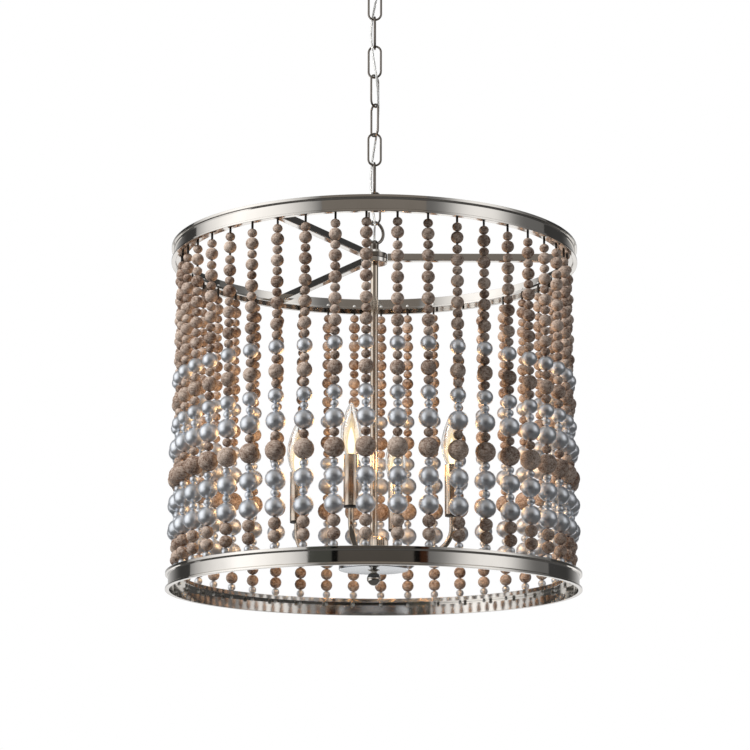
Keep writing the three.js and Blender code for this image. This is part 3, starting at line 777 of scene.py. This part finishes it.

# Hub: two thick round plates turned from steel bar, bored for the rod and the loop, with their
# edges broken. They lie face to face; the upper one is darker, as the loop is: painted shade in its
# nickel.
HUB_TOP, HUB_SEAM, HUB_BOTTOM, HUB_RADIUS = -485.7, -493.6, -500.7, 19
HUB_EDGE = 0.9
hub_form = bmesh.new()
for plate, (top, bottom) in enumerate(((HUB_TOP, HUB_SEAM), (HUB_SEAM, HUB_BOTTOM))):
    plate_outline = eased([
        (THREADED_HOLE, bottom), (HUB_RADIUS, bottom), (HUB_RADIUS, top), (THREADED_HOLE, top),
    ], HUB_EDGE)
    turned(hub_form, plate_outline, sides=96, closed=True, finish=plate)
hub = finished("spoke_hub", hub_form, [nickel_darkened_as_painted_shade, nickel])
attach(hub, "drum")
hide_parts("hub")

# Spokes: three square tubes screwed to the hub and to the inside of the upper ring's band.
SPOKE_SIDE, SPOKE_INNER, SPOKE_OUTER = 11, 19.3, 292.7
SPOKE_TOP, SPOKE_EDGE = -485.7, 0.9
for i in range(3):
    spoke_form = bmesh.new()
    middle = Vector(((SPOKE_INNER + SPOKE_OUTER) / 2, 0, SPOKE_TOP - SPOKE_SIDE / 2))
    size = Matrix.Diagonal((SPOKE_OUTER - SPOKE_INNER, SPOKE_SIDE, SPOKE_SIDE, 1))
    bmesh.ops.create_cube(spoke_form, size=1, matrix=Matrix.Translation(middle) @ size)
    bmesh.ops.bevel(
        spoke_form, geom=list(spoke_form.edges), offset=SPOKE_EDGE, segments=3, profile=0.5,
        affect="EDGES",
    )
    spoke_form.transform(Matrix.Rotation(math.tau * i / 3, 4, "Z"))
    spoke = finished(f"square_spoke_{i + 1}", spoke_form, [nickel], crease=12)
    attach(spoke, "drum")
    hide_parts(f"spoke_{i + 1}")

# Upper ring: a band of bent steel with a thin flange turned out at its top and bottom, polished
# and nickel-plated. The narrow drilled ledge inside it, just above its foot, carries the strands.
RING_RADIUS, RING_HEIGHT, FOOT_FLANGE = 300, 24, 3
WEB_OUTER, WEB_INNER = 295.8, 293.8
UPPER_TOP, LOWER_TOP = -481.7, -965.7
TOP_FLANGE, TOP_GROOVE_HEIGHT, TOP_GROOVE_WIDTH = 3.8, 1.9, 1
FOOT_GROOVE_HEIGHT, FOOT_GROOVE_WIDTH = 1.6, 0.8
RING_EDGE, GROOVE_EDGE, LEDGE_EDGE = 0.45, 0.2, 0.4
UPPER_LEDGE_INNER, UPPER_LEDGE_RISE, UPPER_LEDGE_THICK, LEDGE_GAP = 278.8, 4, 3.4, 0.1
RING_SIDES = 252


def ring_outline(top, bottom, lean=0):
    return [
        (WEB_INNER, bottom), (RING_RADIUS, bottom), (RING_RADIUS - lean, bottom + FOOT_FLANGE),
        (WEB_OUTER - FOOT_GROOVE_WIDTH, bottom + FOOT_FLANGE, GROOVE_EDGE),
        (WEB_OUTER, bottom + FOOT_FLANGE + FOOT_GROOVE_HEIGHT, GROOVE_EDGE),
        (WEB_OUTER, top - TOP_FLANGE - TOP_GROOVE_HEIGHT, GROOVE_EDGE),
        (WEB_OUTER + TOP_GROOVE_WIDTH, top - TOP_FLANGE, GROOVE_EDGE),
        (RING_RADIUS, top - TOP_FLANGE), (RING_RADIUS, top), (WEB_INNER, top),
    ]


ring_foot = UPPER_TOP - RING_HEIGHT
upper_outline = eased(ring_outline(UPPER_TOP, ring_foot), RING_EDGE)
upper_ring = turned_piece("upper_band", upper_outline, [nickel], RING_SIDES, crease=25)
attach(upper_ring, "drum")
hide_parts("upper_ring")

ledge_under = ring_foot + UPPER_LEDGE_RISE
ledge_top = ledge_under + UPPER_LEDGE_THICK
ledge_outer = WEB_INNER - LEDGE_GAP
ledge_outline = eased([
    (UPPER_LEDGE_INNER, ledge_under), (ledge_outer, ledge_under), (ledge_outer, ledge_top),
    (UPPER_LEDGE_INNER, ledge_top),
], LEDGE_EDGE)
upper_ledge = turned_piece("upper_ledge", ledge_outline, [nickel], RING_SIDES, crease=25)
strand_sets = [f"strand_set_{i:02d}" for i in range(1, 15)]
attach(upper_ledge, "drum")
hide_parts(*strand_sets)

# Lower ring: the same band, with the drilled ledge at its top. The wires pass through the ledge
# and end in crimps under it.
LOWER_LIP, LOWER_LEAN = 1.5, 0.3
LEDGE_INNER, LEDGE_DEEP = 275.8, 6.4
ledge_bottom = LOWER_TOP - LEDGE_DEEP
lower_outline = ring_outline(LOWER_TOP + LOWER_LIP, LOWER_TOP - RING_HEIGHT, LOWER_LEAN)
lower_outline += [
    (WEB_INNER, LOWER_TOP), (LEDGE_INNER, LOWER_TOP), (LEDGE_INNER, ledge_bottom),
    (WEB_INNER, ledge_bottom),
]
lower_outline = eased(lower_outline, RING_EDGE)
lower_ring = turned_piece("lower_band", lower_outline, [nickel], RING_SIDES, crease=25)
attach(lower_ring, "drum")
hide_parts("lower_ring")

# Strands: 42 black-coated steel wires. Each is held by a small crimped ball above the upper ledge
# and one under the lower ledge, and hangs straight between them.
STRANDS = 42
STRAND_CIRCLE = 285
STRAND_TURN = math.radians(-90 - 2.2)
WIRE_RADIUS, WIRE_END = 1.65, 0.5
CRIMP_RADIUS, CRIMP_SEAT = 2.6, 0.8
# Each strand's beads lie a little closer or wider, and on some strands the top ones have slid up
LOOSE_ABOVE = -542
MOST_STRETCH, MOST_LIFT = 0.006, 3.2
LIFT_SEED, STRETCH_SEED = 5, 4
STRAND_INPUTS = {
    "Strands": "NodeSocketInt", "Circle": "NodeSocketFloat", "First turn": "NodeSocketFloat",
    "Foot": "NodeSocketFloat", "Stretch": "NodeSocketFloat", "Lift": "NodeSocketFloat",
    "Piece": "NodeSocketObject", "Tilt": "NodeSocketFloat", "Spread": "NodeSocketFloat",
    "Seed": "NodeSocketInt", "Finish": "NodeSocketMaterial",
}


def any_number(nodes, low, high, seed):
    """A number drawn for each place between a low and a high one."""
    return nodes.add("FunctionNodeRandomValue", {"data_type": "FLOAT"}, {
        2: low, 3: high, "Seed": seed,
    }, output=1)


def marked(nodes, geometry, name, value, kind="FLOAT", domain="POINT"):
    """Keeps a value at each place under a name."""
    return nodes.add("GeometryNodeStoreNamedAttribute", {"data_type": kind, "domain": domain}, {
        "Geometry": geometry, "Name": name, "Value": value,
    })


def three(nodes, **parts):
    """Numbers as the parts of one vector."""
    return nodes.add("ShaderNodeCombineXYZ", sockets=parts)


strand_shape, strand_given = shape_nodes("strung_on_the_ring", STRAND_INPUTS)
ring_places = strand_shape.add("GeometryNodeMeshCircle", sockets={
    "Vertices": strand_given.other("Strands"), "Radius": strand_given.other("Circle"),
})
ring_turned = strand_shape.add("GeometryNodeTransform", sockets={
    "Geometry": ring_places,
    "Rotation": three(strand_shape, Z=strand_given.other("First turn")),
    "Translation": three(strand_shape, Z=strand_given.other("Foot")),
})
any_lift = any_number(strand_shape, -1, 1, LIFT_SEED)
ring_marked = marked(strand_shape, ring_turned, "lift", any_lift.math("MAXIMUM", any_lift, 0))
any_stretch = any_number(strand_shape, -1, 0.5, STRETCH_SEED)
wire_places = strand_shape.add("GeometryNodeInstanceOnPoints", sockets={
    "Points": ring_marked, "Instance": strand_given,
    "Scale": three(strand_shape, X=1, Y=1, Z=1 + any_stretch * strand_given.other("Stretch")),
})
bead_points = strand_shape.add("GeometryNodeRealizeInstances", sockets={"Geometry": wire_places})
lift = noted(strand_shape, "loose") * noted(strand_shape, "lift") * strand_given.other("Lift")
bead_places = strand_shape.add("GeometryNodeSetPosition", sockets={
    "Geometry": bead_points, "Offset": three(strand_shape, Z=lift),
})
one_piece = strand_shape.add(
    "GeometryNodeObjectInfo", sockets={"Object": strand_given.other("Piece")}, output="Geometry",
)
inside = strand_shape.add("GeometryNodeInputPosition")
marked_piece = marked(strand_shape, one_piece, "grain", inside, kind="FLOAT_VECTOR")
most_tilt = strand_given.other("Tilt")
least_tilt = most_tilt * -1
any_turn = strand_shape.add("FunctionNodeRandomValue", {"data_type": "FLOAT_VECTOR"}, {
    "Min": three(strand_shape, X=least_tilt, Y=least_tilt),
    "Max": three(strand_shape, X=most_tilt, Y=most_tilt, Z=math.tau),
    "Seed": strand_given.other("Seed"),
})
smallest = 1 - strand_given.other("Spread")
any_size = any_number(strand_shape, smallest, 1, strand_given.other("Seed") + 1)
hung_pieces = strand_shape.add("GeometryNodeInstanceOnPoints", sockets={
    "Points": bead_places, "Instance": marked_piece,
    "Rotation": strand_shape.add("FunctionNodeEulerToRotation", sockets={"Euler": any_turn}),
    "Scale": three(strand_shape, X=any_size, Y=any_size, Z=any_size),
})
any_tone = any_number(strand_shape, 0, 1, strand_given.other("Seed") + 2)
toned = marked(strand_shape, hung_pieces, "tone", any_tone, domain="INSTANCE")
ended(strand_shape, toned, strand_given.other("Finish"))


def strung(
    name, heights, outline, sides, finish, tilt=0.0, spread=0.0, seed=1, closed=True, slack=0,
):
    """One kind of bead, or of crimp or wire, at the given heights on all the strands."""
    one = turned_piece(f"{name}_one", outline, [], sides, closed=closed)
    stations = bpy.data.meshes.new(f"{name}_heights")
    stations.from_pydata([(0, 0, (height - LOWER_TOP) * MM) for height in heights], [], [])
    freed = stations.attributes.new("loose", "FLOAT", "POINT")
    freed.data.foreach_set("value", [float(height > LOOSE_ABOVE) for height in heights])
    piece = formed(name, stations, strand_shape, {
        "Strands": STRANDS, "Circle": STRAND_CIRCLE * MM, "First turn": STRAND_TURN, "Piece": one,
        "Foot": LOWER_TOP * MM, "Stretch": slack * MOST_STRETCH, "Lift": slack * MOST_LIFT * MM,
        "Tilt": tilt, "Spread": spread, "Seed": seed, "Finish": finish,
    }, crease=40)
    bpy.data.objects.remove(one)
    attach(piece, "drum")
    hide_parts(*strand_sets)


black_coat = clouded_finish("black_coated_wire", {
    "Base Color": (0.018, 0.016, 0.015, 1),
}, rough=0.35, rough_range=0.25, clouds=400)
wire_top, wire_bottom = ledge_top + WIRE_END, ledge_bottom - WIRE_END
wire_outline = [
    (0, wire_bottom), (WIRE_RADIUS, wire_bottom), (WIRE_RADIUS, wire_top), (0, wire_top),
]
strung("strand_wires", [0], wire_outline, 8, black_coat, closed=False)

crimp_silver = clouded_finish("crimp_silver", {
    "Base Color": (0.86, 0.85, 0.83, 1), "Metallic": 0.35,
}, rough=0.22, rough_range=0.15, clouds=300)
crimp_outline = []
for tilt in range(-90, 91, 30):
    across = math.cos(math.radians(tilt)) if abs(tilt) < 90 else 0
    crimp_outline.append((CRIMP_RADIUS * across, CRIMP_RADIUS * math.sin(math.radians(tilt))))
crimp_rise = CRIMP_RADIUS * CRIMP_SEAT
strung("wire_crimps", [ledge_top + crimp_rise, ledge_bottom - crimp_rise], crimp_outline, 10,
       crimp_silver, closed=False)

# Beads: 27 on each wire, bored balls that lie on one another. The wooden ones are turned from a
# pale porous wood, limed grey; the silver ones are turned wood under satin silver paint.
BEAD_NEST = 0.4
WIRE_SHOWN = 4.6
BORE_RADIUS = 1.8
ORDER = "SMSMSMSMSMSmSWSmplSLplplMMp"
# Each kind's name, its room on the wire, and its width and height
BEAD_KINDS = {
    "S": ("small_wood_beads", 13, 14.2, 12.9), "M": ("medium_wood_beads", 18, 18.5, 17.9),
    "W": ("middle_wood_beads", 22, 22.2, 22.0), "L": ("large_wood_beads", 29, 29.3, 28.9),
    "m": ("middle_silver_beads", 21.5, 22.3, 21.4), "l": ("large_silver_beads", 27.5, 28, 27.4),
    "p": ("silver_spacers", 11.5, 12, 11.4),
}
SILVER_KINDS = "mlp"
BEAD_TILT, WOOD_SPREAD, SILVER_SPREAD = 0.06, 0.035, 0.01
FIRST_BEAD_SEED, SEED_STEP = 11, 3
# Beads wider than this have more facets
FINE_ABOVE = 17
BARE_WOOD, LIME, PORES = (0.135, 0.078, 0.052, 1), (0.59, 0.49, 0.42, 1), (0.05, 0.031, 0.022, 1)
SILVER_DARK, SILVER_PALE = (0.75, 0.79, 0.84, 1), (0.88, 0.92, 0.98, 1)


def bead_place(nodes):
    """A point's place in its bead's wood, no two beads alike, and the bead's own tone."""
    grain = nodes.add("ShaderNodeAttribute", {"attribute_name": "grain"}, output="Vector")
    tone = nodes.add("ShaderNodeAttribute", {"attribute_name": "tone"}, output="Fac")
    apart = three(nodes, X=tone * 3.7, Y=tone * 5.1, Z=tone * 2.3)
    return nodes.add("ShaderNodeVectorMath", {"operation": "ADD"}, {0: grain, 1: apart}), tone


def ranged(nodes, value, low, high, start, end):
    """Takes a value from one range to another."""
    return nodes.add("ShaderNodeMapRange", sockets={
        "Value": value, 1: low, 2: high, 3: start, 4: end,
    })


def mixed(nodes, share, first, second):
    """One colour going over to a second by a share."""
    return nodes.add("ShaderNodeMix", {"data_type": "RGBA"}, {
        0: share, 6: first, 7: second,
    }, output=2)


def wood_finish():
    """Limed wood: grey-brown, with pale lime in long veins and dark pores. Scales are to 1 m."""
    finish, nodes = new_finish("limed_wood")
    place, tone = bead_place(nodes)
    patches = noise(nodes, place, 170, 4, 0.62)
    long_way = nodes.add("ShaderNodeMapping", sockets={"Vector": place, "Scale": (1, 0.28, 1)})
    veins = noise(nodes, long_way, 520, 5, 0.7)
    holes = nodes.add("ShaderNodeTexVoronoi", sockets={
        "Vector": place, "Scale": 760, "Randomness": 1,
    })
    pore = ranged(nodes, holes, 0.1, 0.32, 1, 0)
    lime = ranged(nodes, patches * 0.4 + veins * 0.6 + (tone - 0.5) * 0.1, 0.39, 0.62, 0, 1)
    body = mixed(nodes, lime, BARE_WOOD, LIME)
    relief = nodes.add("ShaderNodeBump", sockets={
        "Height": veins * 0.5 - pore * 0.7, "Strength": 0.7, "Distance": 0.00035,
    })
    nodes.end(nodes.add("ShaderNodeBsdfPrincipled", sockets={
        "Base Color": mixed(nodes, pore * 0.8, body, PORES), "Roughness": 0.62 + 0.25 * veins,
        "Normal": relief,
    }))
    return finish


def silver_finish():
    """Satin silver paint over turned wood: blue-grey, a little uneven from bead to bead."""
    finish, nodes = new_finish("satin_silver")
    place, tone = bead_place(nodes)
    clouds = noise(nodes, place, 130, 3)
    shade = ranged(nodes, clouds * 0.5 + tone * 0.5, 0.2, 0.8, 0, 1)
    relief = nodes.add("ShaderNodeBump", sockets={
        "Height": noise(nodes, place, 1400, 3), "Strength": 0.12, "Distance": 0.0001,
    })
    nodes.end(nodes.add("ShaderNodeBsdfPrincipled", sockets={
        "Base Color": mixed(nodes, shade, SILVER_DARK, SILVER_PALE), "Metallic": 0.94,
        "Roughness": 0.35 + 0.08 * clouds, "Normal": relief,
    }))
    return finish


def bead_outline(width, height, rows):
    """The section of a bored ball."""
    outline = []
    last = math.acos(BORE_RADIUS / (width / 2))
    for row in range(rows + 1):
        tilt = last * (2 * row / rows - 1)
        outline.append((width / 2 * math.cos(tilt), height / 2 * math.sin(tilt)))
    return outline


wood, silver = wood_finish(), silver_finish()
bead_heights = {kind: [] for kind in BEAD_KINDS}
top = ring_foot - WIRE_SHOWN
for kind in ORDER:
    room_on_wire = BEAD_KINDS[kind][1]
    bead_heights[kind].append(top - room_on_wire / 2)
    top -= room_on_wire - BEAD_NEST
for i, (kind, (bead_name, _, width, height)) in enumerate(BEAD_KINDS.items()):
    sides, rows = (16, 8) if width > FINE_ABOVE else (12, 6)
    finish, spread = (silver, SILVER_SPREAD) if kind in SILVER_KINDS else (wood, WOOD_SPREAD)
    strung(bead_name, bead_heights[kind], bead_outline(width, height, rows), sides, finish,
           BEAD_TILT, spread, FIRST_BEAD_SEED + SEED_STEP * i, slack=1)

# Down rod: a thin polished tube that carries the lights from the hub, with the leads inside it.
ROD_RADIUS, THREAD_RADIUS, ROD_BORE, ROD_TOP, ROD_BOTTOM = 5.7, 4.9, 3.4, -491.7, -920.1
BODY_RADIUS, BODY_TOP, BODY_BOTTOM = 21, -910.4, -943.4
SEAT_GAP = 0.3
# A warm tint painted into the nickel: painted light, the bulbs' glow mirrored in the rod, body, arms
# and sleeves
nickel_painted_bulb_glow = metal_finish(
    "nickel_painted_bulb_glow", (0.76, 0.68, 0.59), (0.62, 0.54, 0.45), rough=0.05, rough_range=0.09, clouds=20,
)
rod = turned_piece("down_tube", [
    (ROD_BORE, ROD_BOTTOM), (THREAD_RADIUS, ROD_BOTTOM), (THREAD_RADIUS, BODY_TOP + SEAT_GAP),
    (ROD_RADIUS, BODY_TOP + SEAT_GAP), (ROD_RADIUS, HUB_BOTTOM - SEAT_GAP),
    (THREAD_RADIUS, HUB_BOTTOM - SEAT_GAP), (THREAD_RADIUS, ROD_TOP), (ROD_BORE, ROD_TOP),
], [nickel_painted_bulb_glow], sides=48)
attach(rod, "drum")
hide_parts("down_rod")

# Arm body: a short drum turned from brass, fluted round its upper edge and plated; the rod screws
# into its top and the four arms into its side.
BODY_SLOPE_WIDTH, BODY_SLOPE_HEIGHT, BODY_EDGE = 2.5, 5, 0.7
BODY_BORE, BODY_BORE_DEPTH = 5.3, 9.7
BODY_FLUTES, FLUTE_DEPTH = 40, 0.9
body_outline = eased([
    (0, BODY_BOTTOM), (BODY_RADIUS, BODY_BOTTOM), (BODY_RADIUS, BODY_TOP - BODY_SLOPE_HEIGHT),
    (BODY_RADIUS - BODY_SLOPE_WIDTH, BODY_TOP), (BODY_BORE, BODY_TOP),
    (BODY_BORE, BODY_TOP - BODY_BORE_DEPTH), (0, BODY_TOP - BODY_BORE_DEPTH),
], BODY_EDGE, closed=False)
body_flutes = (BODY_FLUTES, FLUTE_DEPTH, range(2, 17))
body = turned_piece(
    "fluted_body", body_outline, [nickel_painted_bulb_glow], sides=160, closed=False, flutes=body_flutes,
)
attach(body, "drum")
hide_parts("arm_body")

# Dish: a flat pan pressed from sheet and clamped under the body by the finial. Its nickel is
# tinted blue-grey, a painted reflection of the pale surroundings below it.
DISH_RADIUS, DISH_WALL, DISH_TOP, DISH_BOTTOM, DISH_EDGE = 50.5, 1.6, -943.7, -957.7, 1.2
dish_nickel_painted_cool_reflection = metal_finish(
    "dish_nickel_painted_cool_reflection", (0.58, 0.62, 0.67), (0.50, 0.54, 0.585), rough=0.06, rough_range=0.08, clouds=14,
)
dish_outline = eased([
    (0, DISH_BOTTOM), (DISH_RADIUS, DISH_BOTTOM), (DISH_RADIUS, DISH_TOP),
    (DISH_RADIUS - DISH_WALL, DISH_TOP), (DISH_RADIUS - DISH_WALL, DISH_BOTTOM + DISH_WALL),
    (BODY_RADIUS, DISH_BOTTOM + DISH_WALL), (BODY_RADIUS, DISH_TOP), (0, DISH_TOP),
], DISH_EDGE, closed=False, steps=4)
dish = turned_piece("polished_dish", dish_outline, [dish_nickel_painted_cool_reflection], sides=128, closed=False)
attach(dish, "drum")
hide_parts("dish")

# Finial: a ball on a flared neck, turned in one piece, which screws up into the body.
FINIAL_TOP, BALL_RADIUS, NECK_RADIUS, NECK_LENGTH = -958, 9.9, 4.5, 2.2
BALL_STEPS = 20
# The flare, from the neck up: its radius, and how far it is below the dish
FINIAL_FLARE = [(4.6, NECK_LENGTH), (5.5, 1.2), (8.1, 0.5), (8.7, 0.2), (8.7, 0), (0, 0)]
ball_middle = FINIAL_TOP - NECK_LENGTH - BALL_RADIUS
ball_turn = math.acos(NECK_RADIUS / BALL_RADIUS) + math.pi / 2
finial_outline = [(0, ball_middle - BALL_RADIUS)]
for step in range(1, BALL_STEPS + 1):
    tilt = -math.pi / 2 + ball_turn * step / BALL_STEPS
    height = ball_middle + BALL_RADIUS * math.sin(tilt)
    finial_outline.append((BALL_RADIUS * math.cos(tilt), height))
finial_outline += [(radius, FINIAL_TOP - drop) for radius, drop in FINIAL_FLARE]
finial = turned_piece("ball_finial", finial_outline, [nickel], sides=48, closed=False)
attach(finial, "drum")
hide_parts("finial")

# Lights: four bent tubes rise from the body; each ends in a candle socket of black plastic under a
# plain polished sleeve, and takes a clear candle bulb with a screw base.
LIGHT_TURN, LIGHT_CIRCLE = -16, 117
ARM_RADIUS, ARM_BEND, ARM_HEIGHT, ARM_TOP = 4, 38.5, -937.4, -884.4
ARM_STRAIGHT, ARM_STEPS = 20, 24
SLEEVE_RADIUS, SLEEVE_WALL, SLEEVE_EDGE, SLEEVE_BOTTOM, SLEEVE_TOP = 10.6, 1, 0.4, -881.8, -808.8
SOCKET_RADIUS, SOCKET_BORE, SOCKET_EDGE, SOCKET_BOTTOM, SOCKET_TOP = 8, 6.4, 0.5, -884.1, -810.8
SOCKET_FLANGE_RADIUS, SOCKET_FLANGE, SOCKET_DEPTH = 10.3, 2, 23
BULB_BOTTOM, GLASS_BOTTOM, GLASS_TOP = -833.5, -810.5, -732.5
BULB_RADIUS, GLASS_WALL = 15, 0.7
BULB_SHARES = [
    (0.40, 0), (0.55, 0.05), (0.84, 0.18), (1, 0.36), (0.93, 0.56), (0.6, 0.78), (0.24, 0.94),
    (0.05, 0.995),
]
# The screw base: its foot from the contact up, its collar round the glass's foot, and its threads
BASE_FOOT, BASE_COLLAR = [(0, 0), (2.4, 0), (2.6, 1.5), (5.3, 3)], [(5.5, -2), (5.7, 0.4), (0, 0.4)]
THREADS, FIRST_THREAD, THREAD_PITCH, THREAD_SHAPE = 6, 3.5, 2.6, [(5.5, 0), (6.1, 0.9), (6.1, 1.5)]
# The glass stem and the two leads inside the bulb, from the glass's foot up
STEM_SHAPE = [(0, 0.4), (3.4, 0.4), (2.2, 6), (1.2, 14), (0, 15)]
LEAD_RADIUS, LEAD_SHAPE = 0.3, [(1.4, 1), (1.6, 12), (3.6, 20)]
# The light round the filament: three shells, each with its radius and height
GLOW_SHELLS, GLOW_FOOT = [(5, 41), (7.2, 50), (11.4, 62)], 0.8
GLOW_SHARES = [
    (0, 0), (0.4, 0.02), (0.66, 0.08), (1, 0.3), (0.94, 0.5), (0.68, 0.72), (0.33, 0.88), (0, 1),
]
BULB_LIGHT, BULB_WATTS, BULB_LIGHT_SIZE, BULB_LIGHT_HEIGHT = (1, 0.54, 0.20), 0.6, 0.022, 30

phenolic = clouded_finish("black_phenolic", {
    "Base Color": (0.02, 0.019, 0.018, 1),
}, rough=0.3, rough_range=0.3, clouds=250, detail=3)
bulb_glass, glass_nodes = new_finish("bulb_glass")
glass_nodes.end(glass_nodes.add("ShaderNodeBsdfPrincipled", sockets={
    "Base Color": (0.97, 0.97, 0.96, 1), "Transmission Weight": 1.0, "IOR": 1.5, "Roughness": 0.0,
}))
screw_nickel = metal_finish(
    "screw_shell_nickel", (0.70, 0.66, 0.58), (0.55, 0.5, 0.42),
    rough=0.2, rough_range=0.12, clouds=120,
)


def glow_finish(name, colour, strength, share):
    """Light from the filament: it shines, and what is behind it shows through."""
    finish, nodes = new_finish(name)
    nodes.end(nodes.add("ShaderNodeMixShader", sockets={
        "Fac": share, 1: nodes.add("ShaderNodeBsdfTransparent"),
        2: nodes.add("ShaderNodeEmission", sockets={"Color": (*colour, 1), "Strength": strength}),
    }))
    return finish


glow_finishes = [
    glow_finish("filament_glow", (1, 0.86, 0.56), 7, 1.0),
    glow_finish("near_glow", (1, 0.84, 0.48), 1.05, 0.66),
    glow_finish("far_glow", (1, 0.76, 0.48), 0.95, 0.38),
]

for i in range(4):
    n = i + 1
    light_place = Matrix.Rotation(math.radians(LIGHT_TURN + 90 * i - 90), 4, "Z")
    candle_place = light_place @ Matrix.Translation((LIGHT_CIRCLE, 0, 0))

    # The arm: a tube bent up through a quarter turn
    arm_path = [(BODY_RADIUS + out, 0, ARM_HEIGHT) for out in (SEAT_GAP, ARM_STRAIGHT)]
    for step in range(ARM_STEPS + 1):
        bend = math.pi / 2 * step / ARM_STEPS
        out = LIGHT_CIRCLE - ARM_BEND + ARM_BEND * math.sin(bend)
        arm_path.append((out, 0, ARM_HEIGHT + ARM_BEND * (1 - math.cos(bend))))
    arm_path.append((LIGHT_CIRCLE, 0, ARM_TOP))
    arm_form = bmesh.new()
    drawn(arm_form, [light_place @ Vector(point) for point in arm_path], ARM_RADIUS, sides=28)
    arm = finished(f"bent_arm_{n}", arm_form, [nickel_painted_bulb_glow])
    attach(arm, "drum")
    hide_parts(f"arm_{n}")

    # The socket: a moulded cup, with a flange that the sleeve stands on
    flange_top, bore_foot = SOCKET_BOTTOM + SOCKET_FLANGE, SOCKET_TOP - SOCKET_DEPTH
    socket_outline = eased([
        (0, SOCKET_BOTTOM), (SOCKET_FLANGE_RADIUS, SOCKET_BOTTOM),
        (SOCKET_FLANGE_RADIUS, flange_top), (SOCKET_RADIUS, flange_top),
        (SOCKET_RADIUS, SOCKET_TOP), (SOCKET_BORE, SOCKET_TOP), (SOCKET_BORE, bore_foot),
        (0, bore_foot),
    ], SOCKET_EDGE, closed=False)
    socket = turned_piece(
        f"candle_socket_{n}", socket_outline, [phenolic], 40, candle_place, closed=False,
    )
    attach(socket, "drum")
    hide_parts(f"socket_{n}")

    # The sleeve: a plain tube round the socket
    sleeve_outline = eased([
        (SLEEVE_RADIUS - SLEEVE_WALL, SLEEVE_BOTTOM), (SLEEVE_RADIUS, SLEEVE_BOTTOM),
        (SLEEVE_RADIUS, SLEEVE_TOP), (SLEEVE_RADIUS - SLEEVE_WALL, SLEEVE_TOP),
    ], SLEEVE_EDGE)
    sleeve = turned_piece(f"polished_sleeve_{n}", sleeve_outline, [nickel_painted_bulb_glow], 64, candle_place)
    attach(sleeve, "drum")
    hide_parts(f"candle_sleeve_{n}")

    # The bulb: thin blown glass, a screw base with the stem and its leads, and the filament's light
    tall = GLASS_TOP - GLASS_BOTTOM
    glass_out = flowing([
        (BULB_RADIUS * across, GLASS_BOTTOM + tall * up) for across, up in BULB_SHARES
    ], steps=6)
    glass_in = [
        (max(radius - GLASS_WALL, 0.05), height - GLASS_WALL * (height - GLASS_BOTTOM) / tall)
        for radius, height in glass_out
    ]
    tip_inside = GLASS_TOP - GLASS_WALL * 1.4
    glass_outline = [*glass_out, (0, GLASS_TOP), (0, tip_inside), *reversed(glass_in)]
    glass = turned_piece(f"bulb_glass_{n}", glass_outline, [bulb_glass], 64, candle_place)
    glass.visible_shadow = False

    base_form = bmesh.new()
    base_outline = [(radius, BULB_BOTTOM + up) for radius, up in BASE_FOOT]
    for thread in range(THREADS):
        foot = BULB_BOTTOM + FIRST_THREAD + THREAD_PITCH * thread
        base_outline += [(radius, foot + up) for radius, up in THREAD_SHAPE]
    base_outline += [(radius, GLASS_BOTTOM + up) for radius, up in BASE_COLLAR]
    turned(base_form, base_outline, 40, candle_place)
    stem_outline = [(radius, GLASS_BOTTOM + up) for radius, up in STEM_SHAPE]
    turned(base_form, stem_outline, 24, candle_place, finish=1)
    for side in (-1, 1):
        lead = [candle_place @ Vector((side * out, 0, GLASS_BOTTOM + up)) for out, up in LEAD_SHAPE]
        drawn(base_form, lead, LEAD_RADIUS, sides=6)
    base = finished(f"bulb_base_{n}", base_form, [screw_nickel, bulb_glass])

    glow_form = bmesh.new()
    for shell, (radius, tall) in enumerate(GLOW_SHELLS):
        glow_outline = flowing([
            (radius * across, GLASS_BOTTOM + GLOW_FOOT + tall * up) for across, up in GLOW_SHARES
        ], steps=4)
        turned(glow_form, glow_outline, 24, candle_place, finish=shell)
    glow = finished(f"bulb_glow_{n}", glow_form, glow_finishes)
    glow.visible_shadow = False
    for piece in (glass, base, glow):
        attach(piece, f"bulb_{n}")
        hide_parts(f"bulb_{n}")

    warm = bpy.data.lights.new(f"bulb_light_{n}", "POINT")
    warm.color = BULB_LIGHT
    warm.energy = BULB_WATTS
    warm.shadow_soft_size = BULB_LIGHT_SIZE
    warm_lamp = placed(f"bulb_light_{n}", warm)
    warm_lamp.visible_transmission = False
    warm_lamp.location = (candle_place @ Vector((0, 0, GLASS_BOTTOM + BULB_LIGHT_HEIGHT))) * MM
    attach(warm_lamp, f"bulb_{n}")
